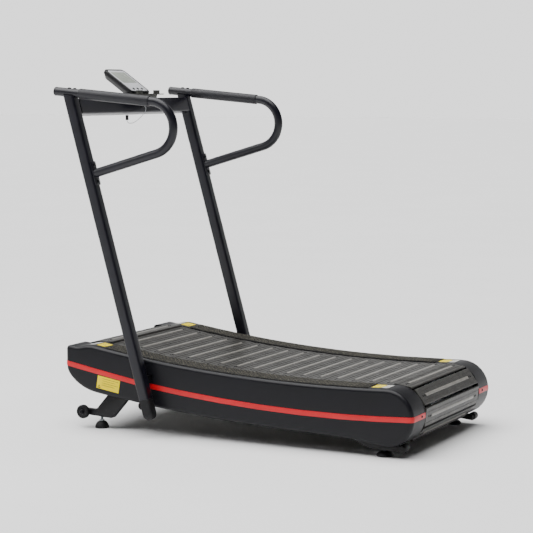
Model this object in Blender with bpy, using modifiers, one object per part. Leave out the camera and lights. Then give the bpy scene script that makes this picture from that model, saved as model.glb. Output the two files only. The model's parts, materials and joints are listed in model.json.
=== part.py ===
"""Curved manual treadmill: a motorless running deck of hinged-together slats between two uprights.

Frame of the model: metres, +Z up, +X towards the rear where the runner steps on, the console at -X.
The runner faces -X, so the runner's left is -Y. The object is centred on X and Y and stands on Z = 0.
"""

import math

import bmesh
import bpy
from mathutils import Matrix, Vector

# ---- overall driving sizes -------------------------------------------------------------------------
GAP = 0.0003  # play left between two pieces that touch

# Running surface: a concave arc that ends on a drum at each side.
ARC_RADIUS = 5.800
ARC_LOW_X = 0.372
ARC_LOW_Z = 0.234
FRONT_AXIS = (-0.588, 0.235)
REAR_AXIS = (0.602, 0.1385)
FRONT_TURN_R = 0.078
REAR_TURN_R = 0.100

# Slats and the two rubber belts that carry them.
SLAT_COUNT = 43
SLAT_PHASE = 0.836  # share of a pitch from the front drum's top to the first slat's middle
SLAT_HALF_LENGTH = 0.262
SLAT_WIDTH = 0.0650
SLAT_THICK = 0.0092
SLAT_SINK = 0.0012
RIDGE_HEIGHT = 0.0014
RIDGE_HALF_WIDTH = 0.0055
RIDGE_HALF_LENGTH = 0.208
RIB_THICK = 0.006
RIB_DEPTH = 0.024
RIB_HALF_LENGTH = 0.168
BELT_IN_Y = 0.185
BELT_OUT_Y = 0.230
BELT_THICK = 0.005

SHAFT_R = 0.0125
PULLEY_IN_Y = 0.182
PULLEY_OUT_Y = 0.233
SHAFT_HALF_LENGTH = 0.318

ROLLER_R = 0.011
ROLLER_PITCH = 0.070
ROLLER_X0 = -0.530
ROLLER_COUNT = 16

# Frame rails, one C-channel along each side.
RAIL_IN_Y = 0.292
RAIL_OUT_Y = 0.334
RAIL_DROP = 0.048
RAIL_DEPTH_FRONT = 0.070
RAIL_DEPTH_GROWTH = 0.025
RAIL_WALL = 0.004
RAIL_X = (-0.640, 0.652)
CROSS_TUBES = (("front", -0.400, 0.205), ("middle", 0.000, 0.170), ("rear", 0.400, 0.150))
CROSS_TUBE_SIZE = (0.050, 0.040, 0.0025)

# Side covers.
COVER_IN_Y = 0.267
COVER_OUT_Y = 0.380
COVER_WALL = 0.003
COVER_ROUND = 0.014
COVER_LIP_Y = 0.356
STRIPE_HEIGHT = 0.0186
STRIPE_PROUD = 0.0012
STRIP_Y = (0.272, 0.363)
STRIP_X = (-0.522, 0.528)
STRIP_THICK = 0.0015

# Uprights, crossbar and handles.
UPRIGHT_Y = 0.418
UPRIGHT_HALF_Y = 0.020
UPRIGHT_HALF_X = 0.0213
UPRIGHT_CORNER = 0.008
UPRIGHT_WALL = 0.002
UPRIGHT_FOOT = (-0.3175, 0.1365)
UPRIGHT_LEAN = 0.2835
UPRIGHT_BOTTOM_Z = 0.139
BOOT_RINGS = ((0.0, -0.0008), (0.006, -0.0008), (0.0075, 0.0), (0.050, 0.0), (0.058, 0.0018),
              (0.0650, 0.0056), (0.0700, 0.0106), (0.0725, 0.0165))
HANDLE_R = 0.016
HANDLE_WALL = 0.002
HANDLE_BEND = (-0.293, 1.1156)
HANDLE_BEND_R = 0.094
HANDLE_TOP_FALL = math.radians(5.0)
HANDLE_LOW_FALL = math.radians(16.5)
HANDLE_FRONT_X = -0.686
GRIP_R = 0.0190
GRIP_X = (-0.586, -0.295)
BAR_HALF = (0.0205, 0.029)
BAR_CENTRE_Z = 1.186

# Feet.
FOOT_Y = 0.330
BRACKET_Y = (0.324, 0.348)
STEM_R = 0.005
FRONT_FOOT_X = -0.560
REAR_FOOT_X = 0.579
WHEEL_AXIS = (-0.622, 0.060)
WHEEL_R = 0.0255
WHEEL_Y = (0.3505, 0.3725)
PEG_AXIS = (0.6535, 0.034)
PEG_R = 0.0105
PEG_LUG_R = 0.0150
PEG_Y = (0.306, 0.362)

# Console: a flat housing tilted towards the runner.
FACE_TOP = (-0.6985, 1.3283)
FACE_Y = -0.004
FACE_FALL = math.radians(34.6)
FACE_LENGTH = 0.155
FACE_HALF_WIDTH = 0.070
FACE_MARGIN = 0.009
HOUSING_CORNER = 0.020
HOUSING_RINGS = ((0.0, 0.003), (-0.004, 0.0), (-0.013, 0.0), (-0.018, 0.0036), (-0.031, 0.012))
BUTTON_R = 0.0055
BUTTON_S = 0.132
BUTTON_Y = (-0.030, 0.0, 0.030)

SIDES = (("left", -1.0), ("right", 1.0))


# ---- scene, finishes and collections ---------------------------------------------------------------
for old in list(bpy.data.objects):
    bpy.data.objects.remove(old, do_unlink=True)

PART = bpy.data.collections.new("curved_manual_treadmill")
CUTTERS = bpy.data.collections.new("cutters")
bpy.context.scene.collection.children.link(PART)
bpy.context.scene.collection.children.link(CUTTERS)


def finish(name, colour, rough, metal=0.0):
    """A plain Principled material."""
    material = bpy.data.materials.new(name)
    material.use_nodes = True
    shader = material.node_tree.nodes["Principled BSDF"]
    shader.inputs["Base Color"].default_value = (*colour, 1.0)
    shader.inputs["Roughness"].default_value = rough
    shader.inputs["Metallic"].default_value = metal
    return material


PAINT = ((0.020, 0.020, 0.024), 0.42, 0.35)
SHELL = ((0.016, 0.016, 0.020), 0.55, 0.0)
STEEL = ((0.45, 0.45, 0.46), 0.35, 1.0)
RUBBER = ((0.012, 0.012, 0.012), 0.85, 0.0)
FOAM = ((0.015, 0.015, 0.017), 0.75, 0.0)
TREAD = ((0.16, 0.155, 0.15), 0.6, 0.3)
RED = ((0.62, 0.05, 0.07), 0.45, 0.0)
GRIT = ((0.06, 0.058, 0.05), 0.95, 0.0)
SILVER = ((0.55, 0.56, 0.57), 0.35, 0.5)
CORD = ((0.55, 0.55, 0.56), 0.6, 0.0)


# ---- shape helpers ---------------------------------------------------------------------------------
def place(obj, look=None, smooth_over=None):
    """Puts an object in the part's collection with its own material, or with the cutters when it has no look."""
    if look is None:
        CUTTERS.objects.link(obj)
        obj.hide_render = True
        obj.display_type = "WIRE"
        return obj
    PART.objects.link(obj)
    obj.data.materials.append(finish(obj.name + "_finish", *look))
    if smooth_over is not None:
        obj.data.shade_smooth()
        obj.data.set_sharp_from_angle(angle=math.radians(smooth_over))
    return obj


def from_bmesh(name, bm, look=None, smooth_over=None):
    """One closed object from a bmesh, with its normals turned outwards."""
    bmesh.ops.recalc_face_normals(bm, faces=bm.faces)
    mesh = bpy.data.meshes.new(name)
    bm.to_mesh(mesh)
    bm.free()
    return place(bpy.data.objects.new(name, mesh), look, smooth_over)


def boxed(bm, low, high):
    """Adds an axis-aligned box to a bmesh."""
    size = [b - a for a, b in zip(low, high)]
    centre = [(a + b) / 2 for a, b in zip(low, high)]
    matrix = Matrix.Translation(centre) @ Matrix.Diagonal((*size, 1.0))
    return bmesh.ops.create_cube(bm, size=1.0, matrix=matrix)["verts"]


def box(name, low, high, look=None):
    """An axis-aligned box."""
    bm = bmesh.new()
    boxed(bm, low, high)
    return from_bmesh(name, bm, look)


def rodded(bm, centre, axis, radius, length, segments=24):
    """Adds a cylinder along an axis, centred on a point."""
    turn = Vector((0, 0, 1)).rotation_difference(Vector(axis)).to_matrix().to_4x4()
    bmesh.ops.create_cone(
        bm,
        cap_ends=True,
        segments=segments,
        radius1=radius,
        radius2=radius,
        depth=length,
        matrix=Matrix.Translation(centre) @ turn,
    )


def rod(name, centre, axis, radius, length, look=None, segments=24, smooth_over=30):
    """A cylinder."""
    bm = bmesh.new()
    rodded(bm, centre, axis, radius, length, segments)
    return from_bmesh(name, bm, look, smooth_over if look else None)


def prismed(bm, outline, y0, y1):
    """Adds a prism: an outline of (x, z) points drawn out along Y."""
    near = [bm.verts.new((x, y0, z)) for x, z in outline]
    far = [bm.verts.new((x, y1, z)) for x, z in outline]
    bm.faces.new(near)
    bm.faces.new(far[::-1])
    count = len(outline)
    for i in range(count):
        j = (i + 1) % count
        bm.faces.new((near[j], near[i], far[i], far[j]))


def prism(name, outline, y0, y1, look=None, smooth_over=None):
    """An outline in the XZ plane drawn out along Y."""
    bm = bmesh.new()
    prismed(bm, outline, min(y0, y1), max(y0, y1))
    return from_bmesh(name, bm, look, smooth_over)


def lathe(name, profile, centre, axis, look, segments=40, smooth_over=30):
    """A solid of revolution: (radius, height) points from end to end, turned about an axis."""
    bm = bmesh.new()
    rings = []
    for radius, height in profile:
        if radius == 0.0:
            rings.append([bm.verts.new((0, 0, height))])
            continue
        angles = (2 * math.pi * i / segments for i in range(segments))
        rings.append([bm.verts.new((radius * math.cos(a), radius * math.sin(a), height)) for a in angles])
    for lower, upper in zip(rings, rings[1:]):
        for i in range(segments):
            j = (i + 1) % segments
            ring = [lower[i % len(lower)], lower[j % len(lower)], upper[j % len(upper)], upper[i % len(upper)]]
            bm.faces.new(list(dict.fromkeys(ring)))
    turn = Vector((0, 0, 1)).rotation_difference(Vector(axis)).to_matrix().to_4x4()
    obj = from_bmesh(name, bm, look, smooth_over)
    obj.data.transform(turn)
    obj.location = centre
    return obj


def rounded_rect(half_a, half_b, corner, steps=3):
    """Points round a rectangle with rounded corners, anticlockwise."""
    points = []
    for sign_a, sign_b, start in ((1, 1, 0), (-1, 1, 90), (-1, -1, 180), (1, -1, 270)):
        for i in range(steps + 1):
            angle = math.radians(start + 90 * i / steps)
            points.append((sign_a * (half_a - corner) + corner * math.cos(angle),
                           sign_b * (half_b - corner) + corner * math.sin(angle)))
    return points


def skinned_tube(name, rings, look, smooth_over=30):
    """A hollow tube through (outer ring, inner ring) pairs of matching points, open at both ends."""
    bm = bmesh.new()
    made = [([bm.verts.new(p) for p in outer], [bm.verts.new(p) for p in inner]) for outer, inner in rings]
    count = len(made[0][0])
    for (out_a, in_a), (out_b, in_b) in zip(made, made[1:]):
        for i in range(count):
            j = (i + 1) % count
            bm.faces.new((out_a[i], out_a[j], out_b[j], out_b[i]))
            bm.faces.new((in_a[j], in_a[i], in_b[i], in_b[j]))
    for outer, inner in (made[0], made[-1]):
        for i in range(count):
            j = (i + 1) % count
            bm.faces.new((outer[i], outer[j], inner[j], inner[i]))
    return from_bmesh(name, bm, look, smooth_over)


def combine(obj, other, operation):
    """An exact Boolean with another object."""
    modifier = obj.modifiers.new(operation.lower(), "BOOLEAN")
    modifier.operation = operation
    modifier.solver = "EXACT"
    modifier.object = other


def bevel(obj, width, segments=2, angle=40):
    """Rounds the edges sharper than an angle."""
    modifier = obj.modifiers.new("edges", "BEVEL")
    modifier.width = width
    modifier.segments = segments
    modifier.limit_method = "ANGLE"
    modifier.angle_limit = math.radians(angle)
    modifier.harden_normals = False


# ---- reference curves ------------------------------------------------------------------------------
def deck_z(x):
    """Height of the slats' top along the running surface."""
    return ARC_LOW_Z + ARC_RADIUS - math.sqrt(ARC_RADIUS**2 - (x - ARC_LOW_X) ** 2)


def arc_centre():
    return Vector((ARC_LOW_X, ARC_LOW_Z + ARC_RADIUS))


def turn_angles():
    """Angles at which the outer line of the slats leaves each drum, above and below."""
    centre = arc_centre()
    front = Vector(FRONT_AXIS)
    rear = Vector(REAR_AXIS)
    top_front = math.atan2(centre.y - front.y, centre.x - front.x)
    top_rear = math.atan2(centre.y - rear.y, centre.x - rear.x)
    line = rear - front
    low = math.atan2(line.y, line.x) - math.pi / 2 + math.asin((REAR_TURN_R - FRONT_TURN_R) / line.length)
    return top_front, top_rear, low


def loop_line(inset, turn_steps=14, run_steps=26):
    """Points of the closed loop that the slats follow, moved inwards by an inset."""
    top_front, top_rear, low = turn_angles()
    centre = arc_centre()
    front = Vector(FRONT_AXIS)
    rear = Vector(REAR_AXIS)
    points = []
    start = math.atan2(front.y - centre.y, front.x - centre.x)
    end = math.atan2(rear.y - centre.y, rear.x - centre.x)
    for i in range(run_steps):
        angle = start + (end - start) * i / run_steps
        points.append(centre + (ARC_RADIUS + inset) * Vector((math.cos(angle), math.sin(angle))))
    for i in range(turn_steps + 1):
        angle = top_rear + (low - top_rear) * i / turn_steps
        points.append(rear + (REAR_TURN_R - inset) * Vector((math.cos(angle), math.sin(angle))))
    for i in range(turn_steps):
        angle = low + (top_front - 2 * math.pi - low) * i / turn_steps
        points.append(front + (FRONT_TURN_R - inset) * Vector((math.cos(angle), math.sin(angle))))
    return points


def walk(points, spacing_count, phase):
    """Evenly spaced (position, direction) pairs along a closed line."""
    ring = points + [points[0]]
    lengths = [(b - a).length for a, b in zip(ring, ring[1:])]
    step = sum(lengths) / spacing_count
    found = []
    for i in range(spacing_count):
        left = step * (i + phase)
        k = 0
        while left > lengths[k]:
            left -= lengths[k]
            k += 1
        direction = (ring[k + 1] - ring[k]) / lengths[k]
        found.append((ring[k] + direction * left, direction))
    return found


def rail_bottom(x):
    """Height of a frame rail's lower edge."""
    depth = RAIL_DEPTH_FRONT + RAIL_DEPTH_GROWTH * (x - RAIL_X[0]) / (RAIL_X[1] - RAIL_X[0])
    return deck_z(x) - RAIL_DROP - depth


def upright_x(z):
    """Centre of an upright at a height."""
    return UPRIGHT_FOOT[0] - UPRIGHT_LEAN * (z - UPRIGHT_FOOT[1])


def square_cut(dx):
    """Rise of a cut square to the upright's axis, at a distance along X from the axis."""
    return UPRIGHT_LEAN * dx / (1 + UPRIGHT_LEAN**2)


def handle_top_z(x):
    """Axis height of the handle's upper run."""
    touch_x = HANDLE_BEND[0] + HANDLE_BEND_R * math.sin(HANDLE_TOP_FALL)
    touch_z = HANDLE_BEND[1] + HANDLE_BEND_R * math.cos(HANDLE_TOP_FALL)
    return touch_z - (x - touch_x) * math.tan(HANDLE_TOP_FALL)


# ---- slats and drums -------------------------------------------------------------------------------
def build_slat_belt():
    """Every slat with its rib and ridge, joined by the two belts into one endless loop."""
    slats = bmesh.new()
    ribs = bmesh.new()
    pitch_line = loop_line(SLAT_THICK - SLAT_SINK + BELT_THICK / 2, turn_steps=60, run_steps=120)
    lift = SLAT_THICK - SLAT_SINK + BELT_THICK / 2
    half = SLAT_WIDTH / 2
    chamfer = 0.0015
    section = [
        (-half, -SLAT_THICK),
        (half, -SLAT_THICK),
        (half, -chamfer),
        (half - chamfer, 0.0),
        (chamfer - half, 0.0),
        (-half, -chamfer),
    ]
    rib = [
        (-RIB_THICK / 2, -RIB_DEPTH),
        (RIB_THICK / 2, -RIB_DEPTH),
        (RIB_THICK / 2, -SLAT_THICK + 0.002),
        (-RIB_THICK / 2, -SLAT_THICK + 0.002),
    ]
    ridge = [
        (-RIDGE_HALF_WIDTH, -chamfer),
        (RIDGE_HALF_WIDTH, -chamfer),
        (RIDGE_HALF_WIDTH, 0.0004),
        (RIDGE_HALF_WIDTH - 0.0015, RIDGE_HEIGHT),
        (0.0015 - RIDGE_HALF_WIDTH, RIDGE_HEIGHT),
        (-RIDGE_HALF_WIDTH, 0.0004),
    ]
    pieces = ((slats, section, SLAT_HALF_LENGTH), (ribs, rib, RIB_HALF_LENGTH), (ribs, ridge, RIDGE_HALF_LENGTH))
    for position, direction in walk(pitch_line, SLAT_COUNT, SLAT_PHASE):
        outward = Vector((-direction.y, direction.x))
        origin = position + outward * lift
        for bm, shape, length in pieces:
            outline = [origin + direction * u + outward * w for u, w in shape]
            prismed(bm, [tuple(p) for p in outline], -length, length)
    belt = from_bmesh("slat_belt", slats, TREAD)
    combine(belt, from_bmesh("slat_ribs", ribs), "UNION")
    for side, sign in SIDES:
        outer = loop_line(SLAT_THICK - SLAT_SINK)
        inner = loop_line(SLAT_THICK - SLAT_SINK + BELT_THICK)
        bm = bmesh.new()
        rings = []
        for line, y in ((outer, BELT_IN_Y), (outer, BELT_OUT_Y), (inner, BELT_OUT_Y), (inner, BELT_IN_Y)):
            rings.append([bm.verts.new((p.x, sign * y, p.y)) for p in line])
        for a, b in zip(rings, rings[1:] + rings[:1]):
            for i in range(len(a)):
                j = (i + 1) % len(a)
                bm.faces.new((a[i], a[j], b[j], b[i]))
        combine(belt, from_bmesh("carrier_belt_" + side, bm), "UNION")


def build_drum(name, axis, turn_r):
    """A through shaft with a belt pulley near each end."""
    r = turn_r - (SLAT_THICK - SLAT_SINK + BELT_THICK) - 4 * GAP
    hub = 0.024
    half = [
        (hub, 0.170),
        (hub, PULLEY_IN_Y),
        (r, PULLEY_IN_Y),
        (r, PULLEY_OUT_Y),
        (hub, PULLEY_OUT_Y),
        (hub, 0.250),
        (SHAFT_R, 0.250),
        (SHAFT_R, SHAFT_HALF_LENGTH),
        (0.0, SHAFT_HALF_LENGTH),
    ]
    profile = [(radius, -y) for radius, y in half[::-1]] + half
    lathe(name, profile, (axis[0], 0.0, axis[1]), (0, 1, 0), STEEL, segments=28)


def build_bearing_block(name, axis, sign):
    """A flanged bearing on the inner face of a rail, running on the drum's shaft."""
    y0 = sign * (COVER_IN_Y + 0.0045)
    y1 = sign * (RAIL_IN_Y - GAP)
    corners = rounded_rect(0.030, 0.026, 0.009)
    outline = [(axis[0] + a, axis[1] + b) for a, b in corners]
    block = prism(name, outline, y0, y1, PAINT, 30)
    bore = rod(name + "_bore", (axis[0], (y0 + y1) / 2, axis[1]), (0, 1, 0), SHAFT_R + GAP, 0.06, segments=28)
    combine(block, bore, "DIFFERENCE")


def build_bearing_rail(side, sign):
    """A strip on edge under the slats' ends, with the row of small rollers they run on."""
    strip_y = (0.2400, 0.2440)
    xs = [-0.545 + 1.105 * i / 24 for i in range(25)]
    top = [(x, deck_z(x) - 0.0125) for x in xs]
    low = [(x, deck_z(x) - 0.0420) for x in reversed(xs)]
    bm = bmesh.new()
    prismed(bm, top + low, sign * strip_y[0], sign * strip_y[1])
    rail = from_bmesh("bearing_rail_" + side, bm, STEEL, 30)
    extra = bmesh.new()
    y = sign * (strip_y[1] - 0.001 + 0.2550) / 2
    for i in range(ROLLER_COUNT):
        x = ROLLER_X0 + ROLLER_PITCH * i
        z = deck_z(x) - SLAT_THICK - GAP - ROLLER_R
        rodded(extra, (x, y, z), (0, 1, 0), ROLLER_R, 0.2550 - strip_y[1] + 0.001, 12)
    combine(rail, from_bmesh("rollers_" + side, extra), "UNION")
    tabs = bmesh.new()
    for _, x, z in CROSS_TUBES:
        top_of_tube = z + CROSS_TUBE_SIZE[1] / 2 + GAP
        boxed(tabs, (x - 0.02, min(sign * 0.2405, sign * 0.2435), top_of_tube),
              (x + 0.02, max(sign * 0.2405, sign * 0.2435), deck_z(x) - 0.030))
    combine(rail, from_bmesh("rail_tabs_" + side, tabs), "UNION")


# ---- frame -----------------------------------------------------------------------------------------
def build_rail(side, sign):
    """A curved C-channel, open outwards, with a clearance hole for each drum shaft."""
    xs = [RAIL_X[0] + (RAIL_X[1] - RAIL_X[0]) * i / 22 for i in range(23)]
    top = [(x, deck_z(x) - RAIL_DROP) for x in xs]
    low = [(x, rail_bottom(x)) for x in reversed(xs)]
    rail = prism("frame_rail_" + side, top + low, sign * RAIL_IN_Y, sign * RAIL_OUT_Y, PAINT, 30)
    inner_top = [(x, deck_z(x) - RAIL_DROP - RAIL_WALL) for x in xs]
    inner_low = [(x, rail_bottom(x) + RAIL_WALL) for x in reversed(xs)]
    inner_top[0] = (xs[0] - 0.01, inner_top[0][1])
    inner_low[-1] = (xs[0] - 0.01, inner_low[-1][1])
    inner_top[-1] = (xs[-1] + 0.01, inner_top[-1][1])
    inner_low[0] = (xs[-1] + 0.01, inner_low[0][1])
    hollow = prism("rail_hollow_" + side, inner_top + inner_low,
                   sign * (RAIL_IN_Y + RAIL_WALL), sign * (RAIL_OUT_Y + 0.01))
    combine(rail, hollow, "DIFFERENCE")
    for end, axis in (("front", FRONT_AXIS), ("rear", REAR_AXIS)):
        hole = rod("shaft_hole_" + end + "_" + side, (axis[0], sign * RAIL_IN_Y, axis[1]), (0, 1, 0), 0.0155, 0.02)
        combine(rail, hole, "DIFFERENCE")


def build_cross_tube(name, x, z):
    """A rectangular tube welded between the two rails."""
    width, height, wall = CROSS_TUBE_SIZE
    outer = rounded_rect(width / 2, height / 2, 0.004, 2)
    inner = rounded_rect(width / 2 - wall, height / 2 - wall, 0.0015, 2)
    half = RAIL_IN_Y - GAP
    rings = []
    for y in (-half, half):
        rings.append(([(x + a, y, z + b) for a, b in outer], [(x + a, y, z + b) for a, b in inner]))
    skinned_tube("cross_tube_" + name, rings, PAINT)


def build_upright_mount(side, sign):
    """A block welded into the rail that carries the upright's foot outside the cover."""
    half = 0.0175
    z0, z1 = 0.1945, 0.2200
    outline = [(upright_x(z0) - half, z0), (upright_x(z0) + half, z0),
               (upright_x(z1) + half, z1), (upright_x(z1) - half, z1)]
    y0 = sign * (RAIL_IN_Y + RAIL_WALL + GAP)
    y1 = sign * (UPRIGHT_Y - UPRIGHT_HALF_Y - GAP)
    prism("upright_mount_" + side, outline, y0, y1, PAINT)


def build_front_bracket(side, sign):
    """The raked leg under the front of the rail, with an arm forward to the transport wheel."""
    back_x, front_x = -0.404, -0.482
    axle_x, axle_z = WHEEL_AXIS
    outline = [
        (back_x, rail_bottom(back_x) - 3 * GAP),
        (front_x, rail_bottom(front_x) - 3 * GAP),
        (-0.5270, 0.1240),
        (-0.5750, 0.0690),
        (-0.6050, 0.0690),
        (axle_x - 0.0050, axle_z + 0.0105),
        (axle_x - 0.0110, axle_z + 0.0050),
        (axle_x - 0.0110, axle_z - 0.0050),
        (axle_x - 0.0050, axle_z - 0.0105),
        (-0.5960, 0.0470),
        (-0.5100, 0.0420),
        (-0.5040, 0.0440),
        (-0.4420, 0.1150),
    ]
    y0, y1 = (sign * y for y in BRACKET_Y)
    bracket = prism("front_foot_bracket_" + side, outline, y0, y1, PAINT)
    stem = rod("front_stem_hole_" + side, (FRONT_FOOT_X, sign * FOOT_Y, 0.0530), (0, 0, 1), STEM_R + GAP, 0.026)
    axle = rod("axle_hole_" + side, (WHEEL_AXIS[0], sign * FOOT_Y, WHEEL_AXIS[1]), (0, 1, 0), 0.0050 + GAP, 0.05)
    combine(bracket, stem, "DIFFERENCE")
    combine(bracket, axle, "DIFFERENCE")


def build_rear_bracket(side, sign):
    """The short leg under the rear of the rail, with a lug for the lifting peg."""
    peg_x, peg_z = PEG_AXIS
    angles = [math.radians(-110 + 210 * i / 8) for i in range(9)]
    lug = [(peg_x + PEG_LUG_R * math.cos(a), peg_z + PEG_LUG_R * math.sin(a)) for a in angles]
    outline = [
        (0.470, rail_bottom(0.470) - 3 * GAP),
        (0.474, 0.0480),
        (0.512, 0.0310),
        (0.536, 0.0238),
        (0.612, 0.0238),
        *lug,
        (0.6400, 0.0425),
        (0.6270, 0.0390),
        (0.612, 0.0420),
        (0.606, 0.0480),
        (0.606, rail_bottom(0.606) - 3 * GAP),
    ]
    y0, y1 = (sign * y for y in BRACKET_Y)
    bracket = prism("rear_foot_bracket_" + side, outline, y0, y1, PAINT)
    stem = rod("rear_stem_hole_" + side, (REAR_FOOT_X, sign * FOOT_Y, 0.0330), (0, 0, 1), STEM_R + GAP, 0.040)
    peg = rod("peg_hole_" + side, (peg_x, sign * FOOT_Y, peg_z), (0, 1, 0), PEG_R + GAP, 0.05)
    combine(bracket, stem, "DIFFERENCE")
    combine(bracket, peg, "DIFFERENCE")


def build_foot(name, x, sign, pad_r, pad_h, stem_top):
    """A levelling foot: a domed rubber-shod pad on a threaded stem."""
    profile = [
        (0.0, 0.0),
        (pad_r - 0.001, 0.0),
        (pad_r, 0.002),
        (pad_r, 0.25 * pad_h),
        (0.86 * pad_r, 0.62 * pad_h),
        (0.58 * pad_r, 0.90 * pad_h),
        (0.34 * pad_r, pad_h),
        (STEM_R, pad_h),
        (STEM_R, stem_top),
        (0.0, stem_top),
    ]
    lathe(name, profile, (x, sign * FOOT_Y, 0.0), (0, 0, 1), RUBBER, segments=20)


def build_wheel(side, sign):
    """A small transport wheel beside the bracket's arm, and the bolt it turns on."""
    x, z = WHEEL_AXIS
    y0, y1 = WHEEL_Y
    width = y1 - y0
    profile = [
        (0.0050 + GAP, 0.0),
        (0.010, 0.0),
        (0.011, 0.002),
        (WHEEL_R - 0.003, 0.002),
        (WHEEL_R, 0.005),
        (WHEEL_R, width - 0.005),
        (WHEEL_R - 0.003, width - 0.002),
        (0.011, width - 0.002),
        (0.010, width),
        (0.0050 + GAP, width),
        (0.0050 + GAP, 0.0),
    ]
    bm_axis = (0, sign, 0)
    lathe("transport_wheel_" + side, profile, (x, sign * y0, z), bm_axis, RUBBER, segments=24)
    merge_ends(bpy.data.objects["transport_wheel_" + side])
    start = BRACKET_Y[0] - 0.006
    end = y1 + GAP
    profile = [
        (0.0, start),
        (0.0085, start),
        (0.0085, BRACKET_Y[0] - GAP),
        (0.0050, BRACKET_Y[0] - GAP),
        (0.0050, end),
        (0.0085, end),
        (0.0085, end + 0.0045),
        (0.0060, end + 0.0060),
        (0.0, end + 0.0060),
    ]
    lathe("wheel_axle_" + side, profile, (x, 0.0, z), bm_axis, STEEL, segments=16)


def merge_ends(obj):
    """Closes a lathe profile whose last ring is its first."""
    bm = bmesh.new()
    bm.from_mesh(obj.data)
    bmesh.ops.remove_doubles(bm, verts=bm.verts, dist=1e-6)
    bmesh.ops.recalc_face_normals(bm, faces=bm.faces)
    bm.to_mesh(obj.data)
    bm.free()
    obj.data.set_sharp_from_angle(angle=math.radians(30))


def build_lift_peg(side, sign):
    """The peg through each rear leg by which the machine is lifted to roll on its front wheels."""
    start, end = PEG_Y
    profile = [
        (0.0, start),
        (PEG_R, start),
        (PEG_R, BRACKET_Y[1] + GAP),
        (PEG_LUG_R - 0.001, BRACKET_Y[1] + GAP),
        (PEG_LUG_R - 0.001, end - 0.004),
        (PEG_LUG_R - 0.004, end),
        (0.0, end),
    ]
    lathe("rear_lift_peg_" + side, profile, (PEG_AXIS[0], 0.0, PEG_AXIS[1]), (0, sign, 0), RUBBER, segments=20)


# ---- covers ----------------------------------------------------------------------------------------
def cover_outline(grow):
    """The side cover's outline, moved outwards by an amount."""
    top = [(x, deck_z(x) + 0.0008) for x in [-0.575 + 1.165 * i / 22 for i in range(23)]]
    rear = []
    for i in range(15):
        angle = math.radians(88 - 178 * i / 14)
        radius = 0.1000
        rear.append((REAR_AXIS[0] + radius * math.cos(angle), REAR_AXIS[1] + radius * math.sin(angle)))
    low = [
        (0.560, 0.0440),
        (0.490, 0.0530),
        (0.392, 0.0600),
        (0.238, 0.0655),
        (0.081, 0.0730),
        (-0.080, 0.0825),
        (-0.203, 0.0935),
        (-0.298, 0.1030),
        (-0.391, 0.1150),
        (-0.470, 0.1255),
        (-0.530, 0.1330),
        (-0.580, 0.1420),
        (-0.613, 0.1540),
        (-0.641, 0.1700),
        (-0.664, 0.1900),
        (-0.680, 0.2120),
        (-0.685, 0.2350),
        (-0.685, 0.2960),
        (-0.6800, 0.3050),
        (-0.670, 0.3078),
        (-0.657, 0.3070),
        (-0.642, 0.3045),
        (-0.626, 0.3050),
        (-0.603, 0.3108),
    ]
    points = [Vector(p) for p in top + rear + low]
    if not grow:
        return [tuple(p) for p in points]
    moved = []
    count = len(points)
    for i, point in enumerate(points):
        before = (point - points[i - 1]).normalized()
        after = (points[(i + 1) % count] - point).normalized()
        outward = Vector((-(before + after).y, (before + after).x)).normalized()
        stretch = max(0.6, outward.dot(Vector((-before.y, before.x))))
        moved.append(tuple(point + outward * grow / stretch))
    return moved


def cover_solid(name, sign, grow, inner_y, look=None):
    """The cover's rounded outer shape as a solid, grown or shrunk by an amount."""
    bm = bmesh.new()
    outline = cover_outline(grow)
    outer_y = COVER_OUT_Y + grow
    round_r = COVER_ROUND + grow
    steps = 3
    lines = [(inner_y, outline)]
    for i in range(steps + 1):
        angle = math.radians(90 * i / steps)
        inset = round_r * (1 - math.cos(angle))
        lines.append((outer_y - round_r + round_r * math.sin(angle), cover_outline(grow - inset)))
    rings = [[bm.verts.new((x, sign * y, z)) for x, z in line] for y, line in lines]
    for a, b in zip(rings, rings[1:]):
        for i in range(len(a)):
            j = (i + 1) % len(a)
            bm.faces.new((a[i], a[j], b[j], b[i]))
    bm.faces.new(rings[0])
    bm.faces.new(rings[-1][::-1])
    return from_bmesh(name, bm, look, 35 if look else None)


def build_cover(side, sign):
    """A moulded shell over the rail, open towards the belt and under the rail."""
    cover = cover_solid("side_cover_" + side, sign, 0.0, COVER_IN_Y, SHELL)
    combine(cover, cover_solid("cover_hollow_" + side, sign, -COVER_WALL, COVER_IN_Y - 0.01), "DIFFERENCE")
    low = (-0.640, min(sign * 0.20, sign * COVER_LIP_Y), 0.020)
    high = (0.628, max(sign * 0.20, sign * COVER_LIP_Y), 0.100)
    rear_slot = box("cover_under_rear_" + side, (-0.200, low[1], low[2]), high)
    front_outline = [(-0.630, 0.080), (-0.190, 0.060), (-0.190, 0.125), (-0.520, 0.160), (-0.630, 0.178)]
    front_slot = prism("cover_under_front_" + side, front_outline, sign * 0.20, sign * COVER_LIP_Y)
    combine(cover, rear_slot, "DIFFERENCE")
    combine(cover, front_slot, "DIFFERENCE")
    half = 0.0195
    z0, z1 = 0.1925, 0.2220
    outline = [(upright_x(z0) - half, z0), (upright_x(z0) + half, z0),
               (upright_x(z1) + half, z1), (upright_x(z1) - half, z1)]
    hole = prism("cover_mount_hole_" + side, outline, sign * 0.36, sign * 0.40)
    combine(cover, hole, "DIFFERENCE")


def stripe_z(x):
    """Centre height of the trim stripe along the cover."""
    points = ((-0.720, 0.2490), (-0.626, 0.2320), (-0.497, 0.2090), (-0.348, 0.1840), (-0.203, 0.1665),
              (-0.040, 0.1510), (0.120, 0.1402), (0.277, 0.1340), (0.430, 0.1325), (0.560, 0.1350),
              (0.720, 0.1420))
    for (x0, z0), (x1, z1) in zip(points, points[1:]):
        if x <= x1:
            return z0 + (z1 - z0) * (x - x0) / (x1 - x0)
    return points[-1][1]


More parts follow.
